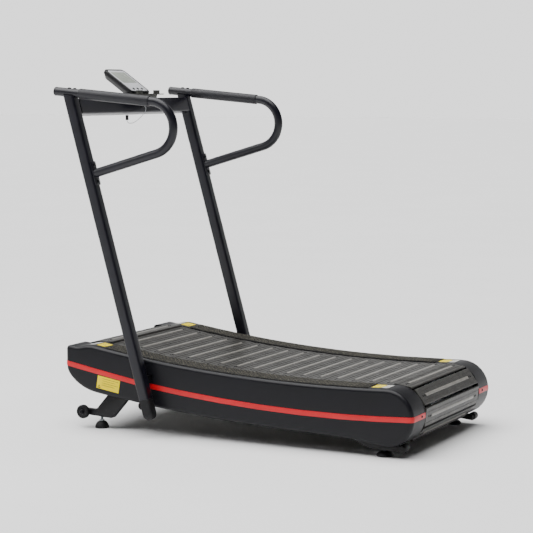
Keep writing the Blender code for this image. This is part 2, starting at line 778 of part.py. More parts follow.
def build_stripe(side, sign):
    """The raised trim strip that runs along the cover and round its ends."""
    stripe = cover_solid("trim_stripe_" + side, sign, STRIPE_PROUD, COVER_IN_Y + GAP, RED)
    xs = [-0.720 + 1.440 * i / 30 for i in range(31)]
    top = [(x, stripe_z(x) + STRIPE_HEIGHT / 2) for x in xs]
    low = [(x, stripe_z(x) - STRIPE_HEIGHT / 2) for x in reversed(xs)]
    band = prism("stripe_band_" + side, top + low, sign * 0.25, sign * 0.40)
    combine(stripe, band, "INTERSECT")
    combine(stripe, cover_solid("stripe_inside_" + side, sign, GAP, COVER_IN_Y - 0.01), "DIFFERENCE")


def build_step_strip(side, sign):
    """The thin gritted plate on the rail's top that the runner steps on."""
    xs = [STRIP_X[0] + (STRIP_X[1] - STRIP_X[0]) * i / 24 for i in range(25)]
    base = 0.0008 + GAP
    top = [(x, deck_z(x) + base + STRIP_THICK) for x in xs]
    low = [(x, deck_z(x) + base) for x in reversed(xs)]
    prism("step_strip_" + side, top + low, sign * STRIP_Y[0], sign * STRIP_Y[1], GRIT)


def build_front_shield():
    """A curved guard round the front of the belt, between the covers."""
    outer = []
    inner = []
    for i in range(13):
        angle = math.radians(132 + 92 * i / 12)
        for ring, radius in ((outer, 0.0945), (inner, 0.0920)):
            ring.append((FRONT_AXIS[0] + radius * math.cos(angle), FRONT_AXIS[1] + radius * math.sin(angle)))
    half = COVER_IN_Y - GAP
    prism("front_shield", outer + inner[::-1], -half, half, PAINT, 30)


# ---- uprights, crossbar and handles ----------------------------------------------------------------
def build_upright(side, sign):
    """A raked tube from below the cover to the underside of the handle."""
    outer = rounded_rect(UPRIGHT_HALF_X, UPRIGHT_HALF_Y, UPRIGHT_CORNER)
    inner = rounded_rect(UPRIGHT_HALF_X - UPRIGHT_WALL, UPRIGHT_HALF_Y - UPRIGHT_WALL,
                         UPRIGHT_CORNER - UPRIGHT_WALL)
    rings = []
    for top in (False, True):
        pair = []
        for section in (outer, inner):
            ring = []
            for dx, dy in section:
                z = UPRIGHT_BOTTOM_Z + square_cut(dx)
                for _ in range(30 if top else 0):
                    z = handle_top_z(upright_x(z) + dx) - HANDLE_R - 2 * GAP
                ring.append((upright_x(z) + dx, sign * UPRIGHT_Y + dy, z))
            pair.append(ring)
        rings.append(tuple(pair))
    skinned_tube("upright_" + side, rings, PAINT)


def build_upright_cap(side, sign):
    """The rounded plastic boot that closes the upright's foot, with a lip at its seam."""
    bm = bmesh.new()
    rings = []
    for depth, inset in BOOT_RINGS:
        half_x = UPRIGHT_HALF_X - inset
        half_y = UPRIGHT_HALF_Y - inset
        corner = min(max(0.0035, UPRIGHT_CORNER - inset), 0.9 * half_y)
        ring = []
        for dx, dy in rounded_rect(half_x, half_y, corner):
            z = UPRIGHT_BOTTOM_Z - GAP - depth + square_cut(dx)
            ring.append(bm.verts.new((upright_x(z) + dx, sign * UPRIGHT_Y + dy, z)))
        rings.append(ring)
    for a, b in zip(rings, rings[1:]):
        for i in range(len(a)):
            j = (i + 1) % len(a)
            bm.faces.new((a[i], a[j], b[j], b[i]))
    bm.faces.new(rings[0])
    bm.faces.new(rings[-1][::-1])
    from_bmesh("upright_cap_" + side, bm, RUBBER, 30)


def build_upright_bolt(side, sign):
    """The big-headed bolt through the front of the upright's foot."""
    z = 0.1140
    x = upright_x(z) - UPRIGHT_HALF_X - 1.5 * GAP
    lean = math.atan(UPRIGHT_LEAN)
    profile = [(0.0, 0.0), (0.0125, 0.0), (0.0135, 0.002), (0.0135, 0.009), (0.0110, 0.0120), (0.0, 0.0125)]
    lathe("upright_bolt_" + side, profile, (x, sign * UPRIGHT_Y, z),
          (-math.cos(lean), 0, -math.sin(lean)), STEEL, segments=16)


def handle_path():
    """Axis of the handle from its front end, round the bend and back to the upright."""
    bend_x, bend_z = HANDLE_BEND
    points = [(HANDLE_FRONT_X, handle_top_z(HANDLE_FRONT_X))]
    steps = 12
    start = math.pi / 2 - HANDLE_TOP_FALL
    end = -math.pi / 2 + HANDLE_LOW_FALL
    for i in range(steps + 1):
        angle = start + (end - start) * i / steps
        points.append((bend_x + HANDLE_BEND_R * math.cos(angle), bend_z + HANDLE_BEND_R * math.sin(angle)))
    touch_x, touch_z = points[-1]
    reach = 0.0
    for _ in range(40):
        z = touch_z - reach * math.sin(HANDLE_LOW_FALL)
        reach = (touch_x - (upright_x(z) + UPRIGHT_HALF_X + 0.0045)) / math.cos(HANDLE_LOW_FALL)
    points.append((touch_x - reach * math.cos(HANDLE_LOW_FALL), touch_z - reach * math.sin(HANDLE_LOW_FALL)))
    return [Vector(p) for p in points]


def build_handle(side, sign):
    """The bent tube handle, hollow, with the flange that bolts its lower end to the upright."""
    path = handle_path()
    y = sign * UPRIGHT_Y
    segments = 16
    rings = []
    for i, point in enumerate(path):
        ahead = path[min(i + 1, len(path) - 1)]
        behind = path[max(i - 1, 0)]
        if 0 < i < len(path) - 1:
            direction = ((ahead - point).normalized() + (point - behind).normalized()).normalized()
        else:
            direction = (ahead - behind).normalized()
        normal = Vector((-direction.y, direction.x))
        pair = []
        for radius in (HANDLE_R, HANDLE_R - HANDLE_WALL):
            ring = []
            for k in range(segments):
                angle = 2 * math.pi * k / segments
                offset = normal * radius * math.cos(angle)
                ring.append((point.x + offset.x, y + radius * math.sin(angle), point.y + offset.y))
            pair.append(ring)
        rings.append(tuple(pair))
    handle = skinned_tube("handlebar_" + side, rings, PAINT)
    end = path[-1]
    lean = math.atan(UPRIGHT_LEAN)
    flange = bmesh.new()
    boxed(flange, (-0.0045, y - 0.0165, -0.044), (0.0, y + 0.0165, 0.044))
    face_x = upright_x(end.y) + UPRIGHT_HALF_X
    matrix = Matrix.Translation((face_x + 0.0050, 0.0, end.y)) @ Matrix.Rotation(-lean, 4, "Y")
    bmesh.ops.transform(flange, matrix=matrix, verts=flange.verts)
    combine(handle, from_bmesh("handle_flange_" + side, flange), "UNION")


def build_grip(side, sign):
    """The foam sleeve on the handle's upper run."""
    y = sign * UPRIGHT_Y
    fall = HANDLE_TOP_FALL
    direction = Vector((math.cos(fall), 0, -math.sin(fall)))
    normal = Vector((math.sin(fall), 0, math.cos(fall)))
    length = (GRIP_X[1] - GRIP_X[0]) / math.cos(fall)
    start = Vector((GRIP_X[0], y, handle_top_z(GRIP_X[0])))
    segments = 20
    rings = []
    for s, radius in ((0.0, GRIP_R - 0.0015), (0.0015, GRIP_R), (length - 0.0015, GRIP_R), (length, GRIP_R - 0.0015)):
        pair = []
        for r in (radius, HANDLE_R + GAP):
            angles = (2 * math.pi * k / segments for k in range(segments))
            pair.append([start + direction * s + normal * r * math.cos(a) + Vector((0, r * math.sin(a), 0))
                         for a in angles])
        rings.append(tuple(pair))
    skinned_tube("grip_" + side, rings, FOAM)


def build_handle_cap(side, sign):
    """The domed plug in the handle's front end."""
    radius = HANDLE_R
    profile = [
        (0.0, -0.012),
        (HANDLE_R - HANDLE_WALL - GAP, -0.012),
        (HANDLE_R - HANDLE_WALL - GAP, GAP),
        (radius, GAP),
        (radius, 0.0025),
        (0.90 * radius, 0.0050),
        (0.66 * radius, 0.0068),
        (0.0, 0.0078),
    ]
    direction = (-math.cos(HANDLE_TOP_FALL), 0, math.sin(HANDLE_TOP_FALL))
    centre = (HANDLE_FRONT_X, sign * UPRIGHT_Y, handle_top_z(HANDLE_FRONT_X))
    lathe("handle_cap_" + side, profile, centre, direction, RUBBER, segments=16)


def build_crossbar():
    """The rectangular tube between the uprights that holds them square and carries the console."""
    lean = math.atan(UPRIGHT_LEAN)
    outer = rounded_rect(BAR_HALF[0], BAR_HALF[1], 0.006)
    inner = rounded_rect(BAR_HALF[0] - 0.002, BAR_HALF[1] - 0.002, 0.004)
    half = UPRIGHT_Y - UPRIGHT_HALF_Y - GAP
    cx = upright_x(BAR_CENTRE_Z)
    rings = []
    for y in (-half, half):
        pair = []
        for section in (outer, inner):
            pair.append([(cx + a * math.cos(lean) - b * math.sin(lean), y,
                          BAR_CENTRE_Z + a * math.sin(lean) + b * math.cos(lean)) for a, b in section])
        rings.append(tuple(pair))
    skinned_tube("crossbar", rings, PAINT)


# ---- console ---------------------------------------------------------------------------------------
FACE_ALONG = Vector((math.cos(FACE_FALL), 0, -math.sin(FACE_FALL)))
FACE_OUT = Vector((math.sin(FACE_FALL), 0, math.cos(FACE_FALL)))
FACE_ORIGIN = Vector((FACE_TOP[0], FACE_Y, FACE_TOP[1]))


def on_face(s, y, out=0.0):
    """A point of the console face: distance down the slope, across, and out of the face."""
    return FACE_ORIGIN + FACE_ALONG * s + FACE_OUT * out + Vector((0, y, 0))


def slab(name, margin, levels, corner, look=None):
    """A plate parallel to the console face: (height out of the face, inset) rings with rounded corners."""
    bm = bmesh.new()
    rings = []
    for out, inset in levels:
        section = rounded_rect(FACE_LENGTH / 2 - margin - inset, FACE_HALF_WIDTH - margin - inset, corner)
        rings.append([bm.verts.new(on_face(FACE_LENGTH / 2 + a, b, out)) for a, b in section])
    for lower, upper in zip(rings, rings[1:]):
        for i in range(len(lower)):
            j = (i + 1) % len(lower)
            bm.faces.new((lower[i], lower[j], upper[j], upper[i]))
    bm.faces.new(rings[0])
    bm.faces.new(rings[-1][::-1])
    return from_bmesh(name, bm, look, 40 if look else None)


def build_console():
    """Housing, face plate, buttons and the bracket with its tablet ledge."""
    housing = slab("console_housing", 0.0, HOUSING_RINGS, HOUSING_CORNER, SHELL)
    recess = slab("face_recess", FACE_MARGIN, ((-0.0023, 0.0), (0.01, 0.0)), 0.012)
    combine(housing, recess, "DIFFERENCE")
    face = slab("console_face", FACE_MARGIN + GAP, ((-0.0020, 0.0), (0.0, 0.0)), 0.0117, SILVER)
    for name, y in zip(("mode", "set", "reset"), BUTTON_Y):
        hole = rod("button_hole_" + name, on_face(BUTTON_S, y, -0.002), FACE_OUT, BUTTON_R + GAP, 0.010, segments=20)
        combine(face, hole, "DIFFERENCE")
        combine(housing, hole, "DIFFERENCE")
        profile = [(0.0, -0.0055), (BUTTON_R, -0.0055), (BUTTON_R, 0.0008), (BUTTON_R - 0.0008, 0.0014), (0.0, 0.0014)]
        lathe("button_" + name, profile, on_face(BUTTON_S, y), FACE_OUT, SHELL, segments=20)

    outline = [(-0.5945, 1.1920), (-0.5580, 1.1920), (-0.5470, 1.2290), (-0.5470, 1.2345),
               (-0.5740, 1.2345), (-0.5815, 1.2250), (-0.6010, 1.2185)]
    bracket = prism("console_bracket", outline, -0.030, 0.070, PAINT)
    ledge = bmesh.new()
    boxed(ledge, (-0.5720, -0.090, 1.2305), (-0.5460, 0.118, 1.2342))
    combine(bracket, from_bmesh("console_ledge", ledge), "UNION")
    lugs = bmesh.new()
    boxed(lugs, (-0.5550, -0.075, 1.2320), (-0.5465, -0.040, 1.2475))
    boxed(lugs, (-0.5550, 0.052, 1.2320), (-0.5465, 0.087, 1.2475))
    combine(bracket, from_bmesh("ledge_stops", lugs), "UNION")


KEY_X, KEY_Y, KEY_TOP = -0.574, 0.004, 1.1918
CLIP_Y = -0.068


def build_tether():
    """Safety key under the console, its cord and the clip parked on the crossbar."""
    profile = [(0.0, 0.0), (0.0080, 0.0), (0.0080, 0.0095), (0.0070, 0.0105), (0.0, 0.0105)]
    lathe("safety_key", profile, (KEY_X, KEY_Y, KEY_TOP - GAP), (0, 0, -1), SHELL, segments=24)
    route = [
        Vector((KEY_X + 0.0094, KEY_Y, 1.1860)),
        Vector((KEY_X + 0.0160, KEY_Y - 0.002, 1.1820)),
        Vector((KEY_X + 0.0150, KEY_Y - 0.008, 1.1640)),
        Vector((KEY_X + 0.0020, KEY_Y - 0.030, 1.1390)),
        Vector((KEY_X - 0.0110, KEY_Y - 0.050, 1.1250)),
        Vector((KEY_X - 0.0210, KEY_Y - 0.068, 1.1230)),
        Vector((KEY_X - 0.0260, CLIP_Y, 1.1330)),
    ]
    points = []
    ends = [route[0] * 2 - route[1]] + route + [route[-1] * 2 - route[-2]]
    for p0, p1, p2, p3 in zip(ends, ends[1:], ends[2:], ends[3:]):
        for i in range(6):
            t = i / 6
            points.append(0.5 * ((2 * p1) + (p2 - p0) * t + (2 * p0 - 5 * p1 + 4 * p2 - p3) * t * t
                                 + (3 * p1 - p0 - 3 * p2 + p3) * t * t * t))
    points.append(route[-1])
    curve = bpy.data.curves.new("tether_cord", "CURVE")
    curve.dimensions = "3D"
    curve.bevel_depth = 0.0011
    curve.bevel_resolution = 2
    curve.use_fill_caps = True
    spline = curve.splines.new("POLY")
    spline.points.add(len(points) - 1)
    for target, point in zip(spline.points, points):
        target.co = (*point, 1.0)
    cord = bpy.data.objects.new("tether_cord", curve)
    PART.objects.link(cord)
    curve.materials.append(finish("tether_cord_finish", *CORD))
    clip = bmesh.new()
    x = KEY_X - 0.0260
    boxed(clip, (x - 0.0045, CLIP_Y - 0.005, 1.1343), (x + 0.0045, CLIP_Y + 0.005, 1.1535))
    from_bmesh("tether_clip", clip, SHELL)
    bevel(bpy.data.objects["tether_clip"], 0.001, 2)


# ---- assembly --------------------------------------------------------------------------------------
build_slat_belt()
build_drum("front_drum", FRONT_AXIS, FRONT_TURN_R)
build_drum("rear_drum", REAR_AXIS, REAR_TURN_R)
for tube_name, tube_x, tube_z in CROSS_TUBES:
    build_cross_tube(tube_name, tube_x, tube_z)
for which, direction_sign in SIDES:
    build_rail(which, direction_sign)
    build_bearing_block("front_bearing_" + which, FRONT_AXIS, direction_sign)
    build_bearing_block("rear_bearing_" + which, REAR_AXIS, direction_sign)
    build_bearing_rail(which, direction_sign)
    build_upright_mount(which, direction_sign)
    build_front_bracket(which, direction_sign)
    build_rear_bracket(which, direction_sign)
    build_foot("front_levelling_foot_" + which, FRONT_FOOT_X, direction_sign, 0.0255, 0.0270, 0.0590)
    build_foot("rear_levelling_foot_" + which, REAR_FOOT_X, direction_sign, 0.0300, 0.0165, 0.0460)
    build_wheel(which, direction_sign)
    build_lift_peg(which, direction_sign)
    build_cover(which, direction_sign)
    build_stripe(which, direction_sign)
    build_step_strip(which, direction_sign)
    build_upright(which, direction_sign)
    build_upright_cap(which, direction_sign)
    build_upright_bolt(which, direction_sign)
    build_handle(which, direction_sign)
    build_grip(which, direction_sign)
    build_handle_cap(which, direction_sign)
build_front_shield()
build_crossbar()
build_console()
build_tether()
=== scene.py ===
"""Looks of a curved manual treadmill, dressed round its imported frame.

Metres, +Z up, +X towards the end where the runner steps on, the console at -X, the runner's left at -Y.
"""

import enum
import json
import logging
import math
from collections.abc import Iterable, Sequence
from dataclasses import dataclass, field

import bmesh
import bpy
from mathutils import Matrix, Vector


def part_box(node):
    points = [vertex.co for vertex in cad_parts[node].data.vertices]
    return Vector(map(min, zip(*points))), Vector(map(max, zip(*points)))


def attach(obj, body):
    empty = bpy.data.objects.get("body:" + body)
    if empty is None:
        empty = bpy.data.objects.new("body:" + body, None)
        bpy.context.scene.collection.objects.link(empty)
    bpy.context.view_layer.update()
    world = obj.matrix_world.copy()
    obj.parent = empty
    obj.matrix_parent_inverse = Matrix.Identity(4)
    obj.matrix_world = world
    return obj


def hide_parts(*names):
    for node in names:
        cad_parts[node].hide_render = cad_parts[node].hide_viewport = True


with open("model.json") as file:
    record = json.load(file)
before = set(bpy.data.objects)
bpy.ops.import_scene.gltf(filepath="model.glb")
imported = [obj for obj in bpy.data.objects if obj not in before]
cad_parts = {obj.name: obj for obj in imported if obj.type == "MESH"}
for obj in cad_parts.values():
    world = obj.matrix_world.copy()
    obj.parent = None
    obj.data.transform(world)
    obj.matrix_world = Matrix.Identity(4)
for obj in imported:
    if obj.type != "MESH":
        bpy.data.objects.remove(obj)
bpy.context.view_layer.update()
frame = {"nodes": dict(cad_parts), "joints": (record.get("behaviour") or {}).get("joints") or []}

LOG = logging.getLogger("treadmill")
MM = 0.001
Point2 = tuple[float, float]
Point3 = tuple[float, float, float]


class Side(enum.Enum):
    """The two sides of the machine, with the sign of Y on each."""

    LEFT = -1
    RIGHT = 1

    @property
    def tag(self) -> str:
        """The word that ends the names of this side's pieces."""
        return self.name.lower()


class Grain(enum.Enum):
    """How a surface was made, which sets the shape of its finest relief."""

    PEEL = "sprayed and baked"
    MOULDED = "spark-eroded mould"
    BRUSHED = "drawn or turned"
    CELLS = "foamed or vulcanised"
    GRIT = "gritted"


# ---- finishes --------------------------------------------------------------------------------------
def srgb(code: str) -> tuple[float, float, float, float]:
    """A linear RGBA colour from an sRGB hex code.

    Args:
        code: The colour as "#rrggbb".

    Returns:
        The linear colour with full alpha.
    """
    parts = [int(code[i:i + 2], 16) / 255 for i in (1, 3, 5)]
    linear = [c / 12.92 if c <= 0.04045 else ((c + 0.055) / 1.055) ** 2.4 for c in parts]
    return (linear[0], linear[1], linear[2], 1.0)


def add_node(tree: bpy.types.NodeTree, kind: str, inputs: dict[object, object] | None = None,
             **settings: object) -> bpy.types.Node:
    """Adds a shader node, sets it and links it.

    Args:
        tree: The node tree that gets the node.
        kind: The node's type name.
        inputs: For each input socket, by name or index, either a value or an output socket to link from.
        **settings: Properties of the node.

    Returns:
        The new node.
    """
    node = tree.nodes.new(kind)
    for name, value in settings.items():
        setattr(node, name, value)
    for socket, value in (inputs or {}).items():
        if isinstance(value, bpy.types.NodeSocket):
            tree.links.new(value, node.inputs[socket])
        else:
            node.inputs[socket].default_value = value
    return node


@dataclass(frozen=True)
class Finish:
    """One real surface: its colours, its gloss and its finest relief.

    Attributes:
        name: What the material is.
        colour: Main colour.
        shade: Colour that the main one drifts to across the surface.
        rough: Roughness in the middle of its range.
        swing: How far the roughness goes either way.
        metal: 1 for bare metal.
        ior: Index of refraction.
        specular: Level of the surface reflection; 0.5 is the plain value for the index.
        grain: How the surface was made.
        grain_mm: Size of the finest relief.
        relief_mm: Height of the finest relief.
        patch_mm: Size of the slow drift in colour and gloss.
        fleck: Colour of loose specks, where there are any.
        fleck_share: Share of the surface that the specks take.
        fleck_mm: Size of a speck.
        sheen: Weight of the sheen that loose fibres or dust give.
    """

    name: str
    colour: str
    shade: str
    rough: float
    swing: float = 0.06
    metal: float = 0.0
    ior: float = 1.5
    specular: float = 0.5
    grain: Grain = Grain.MOULDED
    grain_mm: float = 1.0
    relief_mm: float = 0.02
    patch_mm: float = 70.0
    fleck: str = ""
    fleck_share: float = 0.0
    fleck_mm: float = 1.5
    sheen: float = 0.0

    def _height(self, tree: bpy.types.NodeTree, where: bpy.types.NodeSocket) -> bpy.types.NodeSocket:
        """The finest relief as a height.

        Args:
            tree: The material's node tree.
            where: Coordinates in metres.

        Returns:
            The socket that holds the height, from 0 to 1.
        """
        scale = 1000.0 / self.grain_mm
        if self.grain is Grain.BRUSHED:
            drawn = add_node(tree, "ShaderNodeMapping", {"Vector": where, "Scale": (1.0, 0.04, 1.0)})
            return add_node(tree, "ShaderNodeTexNoise", {"Vector": drawn.outputs[0], "Scale": scale,
                                                         "Detail": 2.0}).outputs[0]
        if self.grain in (Grain.CELLS, Grain.GRIT):
            feature = "SMOOTH_F1" if self.grain is Grain.CELLS else "F1"
            return add_node(tree, "ShaderNodeTexVoronoi", {"Vector": where, "Scale": scale},
                            feature=feature).outputs["Distance"]
        detail = 2.0 if self.grain is Grain.PEEL else 6.0
        return add_node(tree, "ShaderNodeTexNoise", {"Vector": where, "Scale": scale, "Detail": detail,
                                                     "Roughness": 0.6}).outputs[0]

    def material(self) -> bpy.types.Material:
        """The Blender material, made the first time that it is asked for.

        Returns:
            The material.
        """
        made = bpy.data.materials.get(self.name)
        if made:
            return made
        made = bpy.data.materials.new(self.name)
        made.use_nodes = True
        tree = made.node_tree
        shader = tree.nodes["Principled BSDF"]
        shader.inputs["Metallic"].default_value = self.metal
        shader.inputs["IOR"].default_value = self.ior
        shader.inputs["Specular IOR Level"].default_value = self.specular
        shader.inputs["Sheen Weight"].default_value = self.sheen
        shader.inputs["Sheen Roughness"].default_value = 0.4
        where = add_node(tree, "ShaderNodeTexCoord").outputs["Object"]
        drift = add_node(tree, "ShaderNodeTexNoise", {"Vector": where, "Scale": 1000.0 / self.patch_mm,
                                                      "Detail": 5.0, "Roughness": 0.65}).outputs[0]
        share = add_node(tree, "ShaderNodeMapRange",
                         {"Value": drift, "From Min": 0.32, "From Max": 0.68}).outputs[0]
        paint = add_node(tree, "ShaderNodeMix", {"Factor": share, 6: srgb(self.colour), 7: srgb(self.shade)},
                         data_type="RGBA").outputs[2]
        gloss = add_node(tree, "ShaderNodeMapRange", {"Value": drift, "From Min": 0.3, "From Max": 0.7,
                                                      "To Min": self.rough - self.swing,
                                                      "To Max": self.rough + self.swing}).outputs[0]
        height = self._height(tree, where)
        if self.fleck:
            cells = add_node(tree, "ShaderNodeTexVoronoi", {"Vector": where, "Scale": 1000.0 / self.fleck_mm})
            level = add_node(tree, "ShaderNodeSeparateColor", {"Color": cells.outputs["Color"]}).outputs[0]
            picked = add_node(tree, "ShaderNodeMath", {0: level, 1: 1.0 - self.fleck_share},
                              operation="GREATER_THAN").outputs[0]
            inside = add_node(tree, "ShaderNodeMapRange",
                              {"Value": cells.outputs["Distance"], "From Min": 0.25,
                                                           "From Max": 0.55, "To Min": 1.0,
                                                           "To Max": 0.0}).outputs[0]
            speck = add_node(tree, "ShaderNodeMath", {0: picked, 1: inside}, operation="MULTIPLY").outputs[0]
            paint = add_node(tree, "ShaderNodeMix", {"Factor": speck, 6: paint, 7: srgb(self.fleck)},
                             data_type="RGBA").outputs[2]
            height = add_node(tree, "ShaderNodeMath", {0: height, 1: speck}, operation="ADD").outputs[0]
        relief = add_node(tree, "ShaderNodeBump", {"Height": height, "Distance": self.relief_mm * MM,
                                                   "Strength": 1.0}).outputs[0]
        tree.links.new(paint, shader.inputs["Base Color"])
        tree.links.new(gloss, shader.inputs["Roughness"])
        tree.links.new(relief, shader.inputs["Normal"])
        return made


# Polyester powder baked on steel: satin, with the faint orange peel of the melted powder. Real peel is about
# 1 mm across; it is drawn at 2 mm so that it still breaks up a highlight.
POWDER_COAT = Finish("powder_coated_steel", "#0c0c14", "#12121c", 0.34, 0.05, specular=0.40, grain=Grain.PEEL,
                     grain_mm=2.0, relief_mm=0.03)
# The same powder on the parts near the floor, duller and with a little dust.
FRAME_COAT = Finish("powder_coated_frame_steel", "#0c0c0e", "#121215", 0.46, 0.08, specular=0.3,
                    grain=Grain.PEEL,
                    grain_mm=2.0, relief_mm=0.04, fleck="#3b3935", fleck_share=0.02, fleck_mm=3.0)
# Black ABS out of a spark-eroded mould: even, fine leather-like grain that scatters the light.
MOULDED_ABS = Finish("moulded_black_abs", "#0a0a0f", "#0f0f15", 0.42, 0.05, ior=1.53, specular=0.24,
                     grain=Grain.MOULDED, grain_mm=1.4, relief_mm=0.025, patch_mm=160.0)
# Smooth ABS of the console's casing.
CONSOLE_ABS = Finish("console_black_abs", "#0a0a0d", "#101013", 0.36, 0.04, ior=1.53, specular=0.3,
                     grain_mm=1.0,
                     relief_mm=0.015)
# Extruded PVC trim, dyed red all through, with soft gloss.
RED_TRIM = Finish("extruded_red_pvc_trim", "#cf101e", "#c00c19", 0.36, 0.05, ior=1.52, specular=0.35,
                  grain=Grain.BRUSHED, grain_mm=2.5, relief_mm=0.012)
# Hard rubber vulcanised on the slats: grey with wear, and polished enough by shoes to shine at a low angle.
TREAD_RUBBER = Finish("vulcanised_tread_rubber", "#2e2d2a", "#242320", 0.42, 0.05, ior=1.52, specular=0.4,
                      grain=Grain.CELLS, grain_mm=2.4, relief_mm=0.04, patch_mm=45.0, fleck="#63615b",
                      fleck_share=0.14, fleck_mm=2.6)
# The raised bars on the slats, smoother than the pads; their colour, far paler than the pads, is a painted
# highlight for the light that their rounded tops catch.
RIDGE_PAINTED_HIGHLIGHT = Finish("rubbed_tread_ridge", "#7c7973", "#696660", 0.34, 0.05, ior=1.52, grain=Grain.CELLS,
                      grain_mm=2.4, relief_mm=0.03, patch_mm=30.0)
# Anodised aluminium body of the slats.
SLAT_ALUMINIUM = Finish("anodised_slat_aluminium", "#3b3a37", "#302f2d", 0.40, 0.06, grain=Grain.BRUSHED,
                        grain_mm=1.2, relief_mm=0.02, metal=0.4)
# Foot rail: rubber sheet with raised studs, with pale grit worked into it.
STUD_RUBBER = Finish("gritted_foot_rail_rubber", "#181715", "#11100e", 0.74, 0.08, ior=1.52, specular=0.25,
                     grain=Grain.GRIT, grain_mm=1.8, relief_mm=0.15, patch_mm=25.0, fleck="#6f6a5b",
                     fleck_share=0.26, fleck_mm=2.2)
# Tops of the studs: paler than the sheet, with more and paler specks of grit.
STUD_TOP = Finish("gritted_stud_top", "#4a473c", "#322f28", 0.70, 0.08, ior=1.52, specular=0.3,
                  grain=Grain.GRIT,
                  grain_mm=1.8, relief_mm=0.15, patch_mm=20.0, fleck="#8f8a78", fleck_share=0.3, fleck_mm=2.2)
# Wheels, pads and plugs.
BLACK_RUBBER = Finish("moulded_black_rubber", "#0b0b0d", "#121214", 0.62, 0.08, ior=1.52, specular=0.3,
                      grain=Grain.CELLS, grain_mm=1.2, relief_mm=0.04, fleck="#34322f", fleck_share=0.03,
                      fleck_mm=2.5)
# Nitrile foam sleeve: closed cells under a skin, so it looks soft and a little dusty.
GRIP_FOAM = Finish("nitrile_foam_grip", "#111117", "#17171e", 0.52, 0.06, ior=1.45, grain=Grain.CELLS,
                   grain_mm=1.6,
                   relief_mm=0.05, sheen=0.12)
# Zinc plate on screws, stems and shafts: bright, slightly bluish.
ZINC_PLATE = Finish("zinc_plated_steel", "#b4b8bd", "#9ea2a8", 0.34, 0.08, metal=1.0, grain=Grain.BRUSHED,
                    grain_mm=0.8, relief_mm=0.01)
# Black oxide on the button-head screws.
BLACK_OXIDE = Finish("black_oxide_steel", "#1c1c20", "#141417", 0.32, 0.06, metal=0.8, grain_mm=0.8,
                     relief_mm=0.01)
# Back-printed polycarbonate over the console.
SILVER_FACE = Finish("silver_printed_polycarbonate", "#cfd0d3", "#c4c5c8", 0.34, 0.04, ior=1.58,
                     specular=0.35,
                     grain_mm=0.9, relief_mm=0.008)
# Liquid-crystal window, off: grey-green behind clear plastic.
LCD_WINDOW = Finish("lcd_window", "#a4a9a1", "#979c94", 0.26, 0.03, ior=1.49, specular=0.4, grain_mm=0.9,
                    relief_mm=0.004)
# Printed vinyl labels.
YELLOW_VINYL = Finish("yellow_vinyl_label", "#f5dd00", "#ecd300", 0.45, 0.05, specular=0.15, grain_mm=1.2,
                      relief_mm=0.01)
WHITE_VINYL = Finish("white_vinyl_label", "#c9c8c2", "#b9b8b2", 0.38, 0.05, grain_mm=1.2, relief_mm=0.01)
LABEL_INK = Finish("black_label_ink", "#1a1a1c", "#242426", 0.42, 0.05, grain_mm=1.0, relief_mm=0.005)
# Rubber-coated ledge under the console: olive-grey, a little paler than the casing.
LEDGE_RUBBER = Finish("coated_ledge", "#2c2c27", "#232320", 0.6, 0.06, ior=1.52, specular=0.35, grain_mm=1.4,
                      relief_mm=0.04)
# The thin braided cord of the safety key.
CORD_NYLON = Finish("braided_grey_nylon", "#b3b5b8", "#94969a", 0.62, 0.05, ior=1.53, grain=Grain.CELLS,
                    grain_mm=0.9, relief_mm=0.06, patch_mm=3.0, sheen=0.2)


# ---- shapes ----------------------------------------------------------------------------------------
def aligned(centre: Sequence[float], axis: Sequence[float]) -> Matrix:
    """A place at a point with its Z along an axis."""
    return Matrix.Translation(centre) @ Vector((0, 0,
                                                1)).rotation_difference(Vector(axis)).to_matrix().to_4x4()


def upright_plane(y: float) -> Matrix:
    """A place that stands a flat outline of (x, z) points up at a Y, its thickness towards -Y."""
    return Matrix(((1, 0, 0, 0), (0, 0, -1, y), (0, 1, 0, 0), (0, 0, 0, 1)))


def smooth_line(points: Sequence[Sequence[float]], steps: int = 6) -> list[Vector]:
    """A Catmull-Rom line through points.

    Args:
        points: The points that it passes.
        steps: Stations in each span.

    Returns:
        The stations, the last point included.
    """
    given = [Vector(p) for p in points]
    ends = [given[0] * 2 - given[1], *given, given[-1] * 2 - given[-2]]
    found = []
    for before, start, end, after in zip(ends, ends[1:], ends[2:], ends[3:]):
        for i in range(steps):
            t = i / steps
            found.append(0.5 * (2 * start + (end - before) * t
                                + (2 * before - 5 * start + 4 * end - after) * t * t
                                + (3 * start - before - 3 * end + after) * t**3))
    return [*found, given[-1]]


def rounded_rectangle(half: Point2, corner: float, steps: int = 6) -> list[Point2]:
    """Points round a rectangle with rounded corners, anticlockwise.

    Args:
        half: Half of its two sizes.
        corner: Radius of its corners.
        steps: Steps round each corner.

    Returns:
        The points.
    """
    found = []
    for quarter, (right, up) in enumerate(((1, 1), (-1, 1), (-1, -1), (1, -1))):
        for i in range(steps + 1):
            angle = math.radians(90 * (quarter + i / steps))
            found.append((right * (half[0] - corner) + corner * math.cos(angle),
                          up * (half[1] - corner) + corner * math.sin(angle)))
    return found


